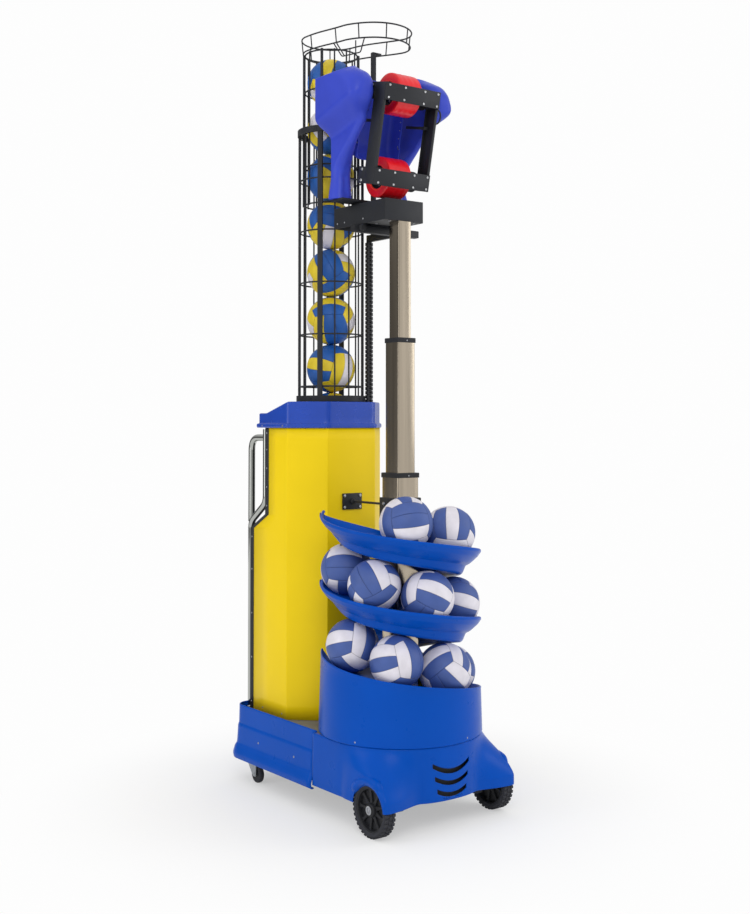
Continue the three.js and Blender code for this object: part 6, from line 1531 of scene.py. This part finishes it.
# Tyre, rim, a thin dark disc between the spokes, and hub are profiles turned about the axle; a spoke is a section
# carried outward
def makeFrontWheel(side):
    name = "left" if side < 0 else "right"
    o = arr([side * wheel["x"], wheel["y"], wheel["radius"]])
    w = wheel["half"]
    near, far = fromSides(tyreEdge, w)
    chunks = [revolve(near + [[99.6, 0]] + far, o, acrossX, 96)]
    # three rows of tread blocks, the middle one half a pitch further on
    pitch = tau / wheel["blocks"]
    half = wheel["blockHalf"] * pitch
    radius, share = arr(blockLevels).T[:, :, None]
    for k in range(wheel["blocks"]):
        for x0, x1, shift in ((1.5 - w, 15.5 - w, 0.0), (-6.8, 6.8, 0.5), (w - 15.5, w - 1.5, 0.0)):
            middle = (x0 + x1) / 2
            x = middle + (arr([x0, x1, x1, x0]) - middle) * share
            a = (k + shift) * pitch + arr([-half, -half, half, half]) * share
            rows = o + np.stack([x, np.cos(a) * radius, np.sin(a) * radius], axis=-1)
            chunks.append(grid(rows, capEnd=True, smooth=False))
    near, far = fromSides(rimEdge, w)
    chunks.append(revolve(near[1:] + far + [[74, 0], near[0]], o, acrossX, 72, m=1))
    # a thin dark disc that fills the wheel between the spokes
    chunks.append(revolve([[25, -1.6], [75, -1.6], [75, 1.6], [25, 1.6]], o, acrossX, 60, m=1))
    near, far = fromSides(hubEdge, w)
    chunks.append(revolve(near + far, o, acrossX, 40, m=1))
    for k in range(wheel["spokes"]):
        a = tau * k / wheel["spokes"]
        out = arr([0, math.cos(a), math.sin(a)])
        turned = arr([0, -math.sin(a), math.cos(a)])
        rows = []
        for radius, thick, wide in spoke:
            loop = roundedRectangle(wide, thick, 2.6, 2)
            rows.append(o + out * radius + loop[:, 0:1] * arr(acrossX) + loop[:, 1:2] * turned)
        chunks.append(grid(rows, m=1))
    washer = [[9.9, 0], [16, 0], [16.5, 1.2], [16.5, 2.4], [9.9, 2.6]]
    for s in bothSides:
        chunks.append(revolve(washer, o + [s * (w - 1.2), 0, 0], (s, 0, 0), 28, m=2))
    makePiece("tyre_and_rim_" + name, "front_wheel_" + name, chunks, ["rubberBlack", "blackPlastic", "zinc"],
              replaces=[name + "_front_wheel"])

# A round bar with a hexagon at each end
def makeAxle():
    o = (0, wheel["y"], wheel["radius"])
    chunks = [disc(10, -318, 318, 1, o, acrossX, 28)]
    for s in bothSides:
        chunks += hexBolt((s * 317.4, *o[1:]), (s, 0, 0), 7.6, 0.6)[1:]
    makePiece("axle", "frame", chunks, "zinc", replaces=["front_axle"])

caster = {"x": 262.0, "swivelY": 440.0, "axleY": 410.0, "axleZ": 37.5, "plateHalfX": 33, "plateHalfY": 46,
          "plateLow": 93.7, "plateTop": 99.6, "boltX": 23, "boltY": 36, "forkTop": 88.2, "forkHalf": 19,
          "forkInner": 15, "forkOuter": 18.8, "wheelHalf": 13}
casterTread = [(24, 2.4), (33, 2.4), (36, 4.5), (37.4, 8)]
casterCore = [(5.3, 0), (11, 0), (12, 3), (22, 4.4), (24.6, 3)]

# Plate and bearing, a fork with two side plates, and a roller of two turned profiles
def makeCaster(side):
    name = "left" if side < 0 else "right"
    x, y, axleY, axleZ = side * caster["x"], caster["swivelY"], caster["axleY"], caster["axleZ"]
    halfX, halfY, top = caster["plateHalfX"], caster["plateHalfY"], caster["forkTop"]
    bearing = [[0.05, 88.8], [21, 88.8], [24, 90], [24, 92.6], [22, 94], [0.05, 94]]
    plate = [roundBox((x - halfX, y - halfY, caster["plateLow"]), (x + halfX, y + halfY, caster["plateTop"]), 2.2),
             revolve(bearing, (x, y, 0), sides=40, closed=False)]
    makePiece(name + "_caster_top", "frame", plate, "galvanised", replaces=[name + "_caster_plate"])
    bolts = []
    for sx in bothSides:
        for sy in bothSides:
            bolts += hexBolt((x + sx * caster["boltX"], y + sy * caster["boltY"], 93.9), (0, 0, -1), 4.4, 3)
    makePiece(name + "_caster_bolts", "frame", bolts, "zinc")
    half = caster["forkHalf"]
    fork = [roundBox((x - half, axleY - 11, top - 4.6), (x + half, y + 23, top), 1.6)]
    outline = [(axleY - 11, 28), (axleY + 11, 28), (y + 23, top - 8), (y + 23, top - 1), (axleY - 12, top - 1)]
    outline = rounded(outline, [9, 9, 4, 2, 3], 4, True)
    for s in bothSides:
        fork.append(plateX(outline, *sorted((x + s * caster["forkInner"], x + s * caster["forkOuter"]))))
        fork += hexBolt((x + s * caster["forkOuter"], axleY, axleZ), (s, 0, 0), 5.4, 0.6)
    fork.append(rod((x - half, axleY, axleZ), (x + half, axleY, axleZ), 4.9, 16))
    cone = [[0.05, top], [14, top], [15, top + 0.4], [0.05, top + 0.5]]
    fork.append(revolve(cone, (x, y, 0), sides=24, closed=False))
    makePiece(name + "_caster_horn", "caster_" + name, fork, "galvanised", replaces=[name + "_caster_fork"])
    o = (x, axleY, axleZ)
    treadNear, treadFar = fromSides(casterTread, caster["wheelHalf"])
    coreNear, coreFar = fromSides(casterCore, caster["wheelHalf"])
    chunks = [revolve(treadNear + [[37.5, 0]] + treadFar, o, acrossX, 56),
              revolve(coreNear + coreFar, o, acrossX, 48, m=1)]
    makePiece(name + "_caster_roller", "caster_wheel_" + name, chunks, ["rubberBlack", "blackPlastic"],
              replaces=[name + "_caster_wheel"])

# The stay from the tower's front to the mast's sleeve
brace = {"y": 91.7, "z": 1204, "half": 50, "halfZ": 34, "plate": 6, "radius": 4.9, "farY": -179.3, "boltX": 40,
         "boltZ": 24}

def makeBrace():
    y, z, half, halfZ = brace["y"], brace["z"], brace["half"], brace["halfZ"]
    face = y - brace["plate"]
    boss = [[4.8, 0], [13, 0], [13, 5], [9, 12], [4.8, 13]]
    chunks = [roundBox((-half, face, z - halfZ), (half, y, z + halfZ)),
              rod((0, y - 3, z), (0, brace["farY"], z), brace["radius"], 20),
              revolve(boss, (0, face, z), (0, -1, 0), 28)]
    bolts = []
    for sx in bothSides:
        for sz in bothSides:
            bolts += hexBolt((sx * brace["boltX"], face, z + sz * brace["boltZ"]), (0, -1, 0), 5, 3)
    makePiece("mast_brace", "frame", chunks, "blackPaint", replaces=["brace_stay"])
    makePiece("mast_brace_bolts", "frame", bolts, "zinc")

for side in bothSides:
    makeFrontWheel(side)
makeAxle()
for side in bothSides:
    makeCaster(side)
makeBrace()
print("running gear ready")

# Parts left as modelled keep their shape and take a finish

carried = {"chassis_frame": "blackPaint", "deck_plate": "deckGrey", "lifter_rail": "greySteel",
           "ball_lifter": "greySteel", "lifter_motor": "blackPlastic", "control_box": "blackPaint"}
for name, look in carried.items():
    for slot in bpy.data.objects[name].material_slots:
        slot.link = "OBJECT"
        slot.material = materials[look]
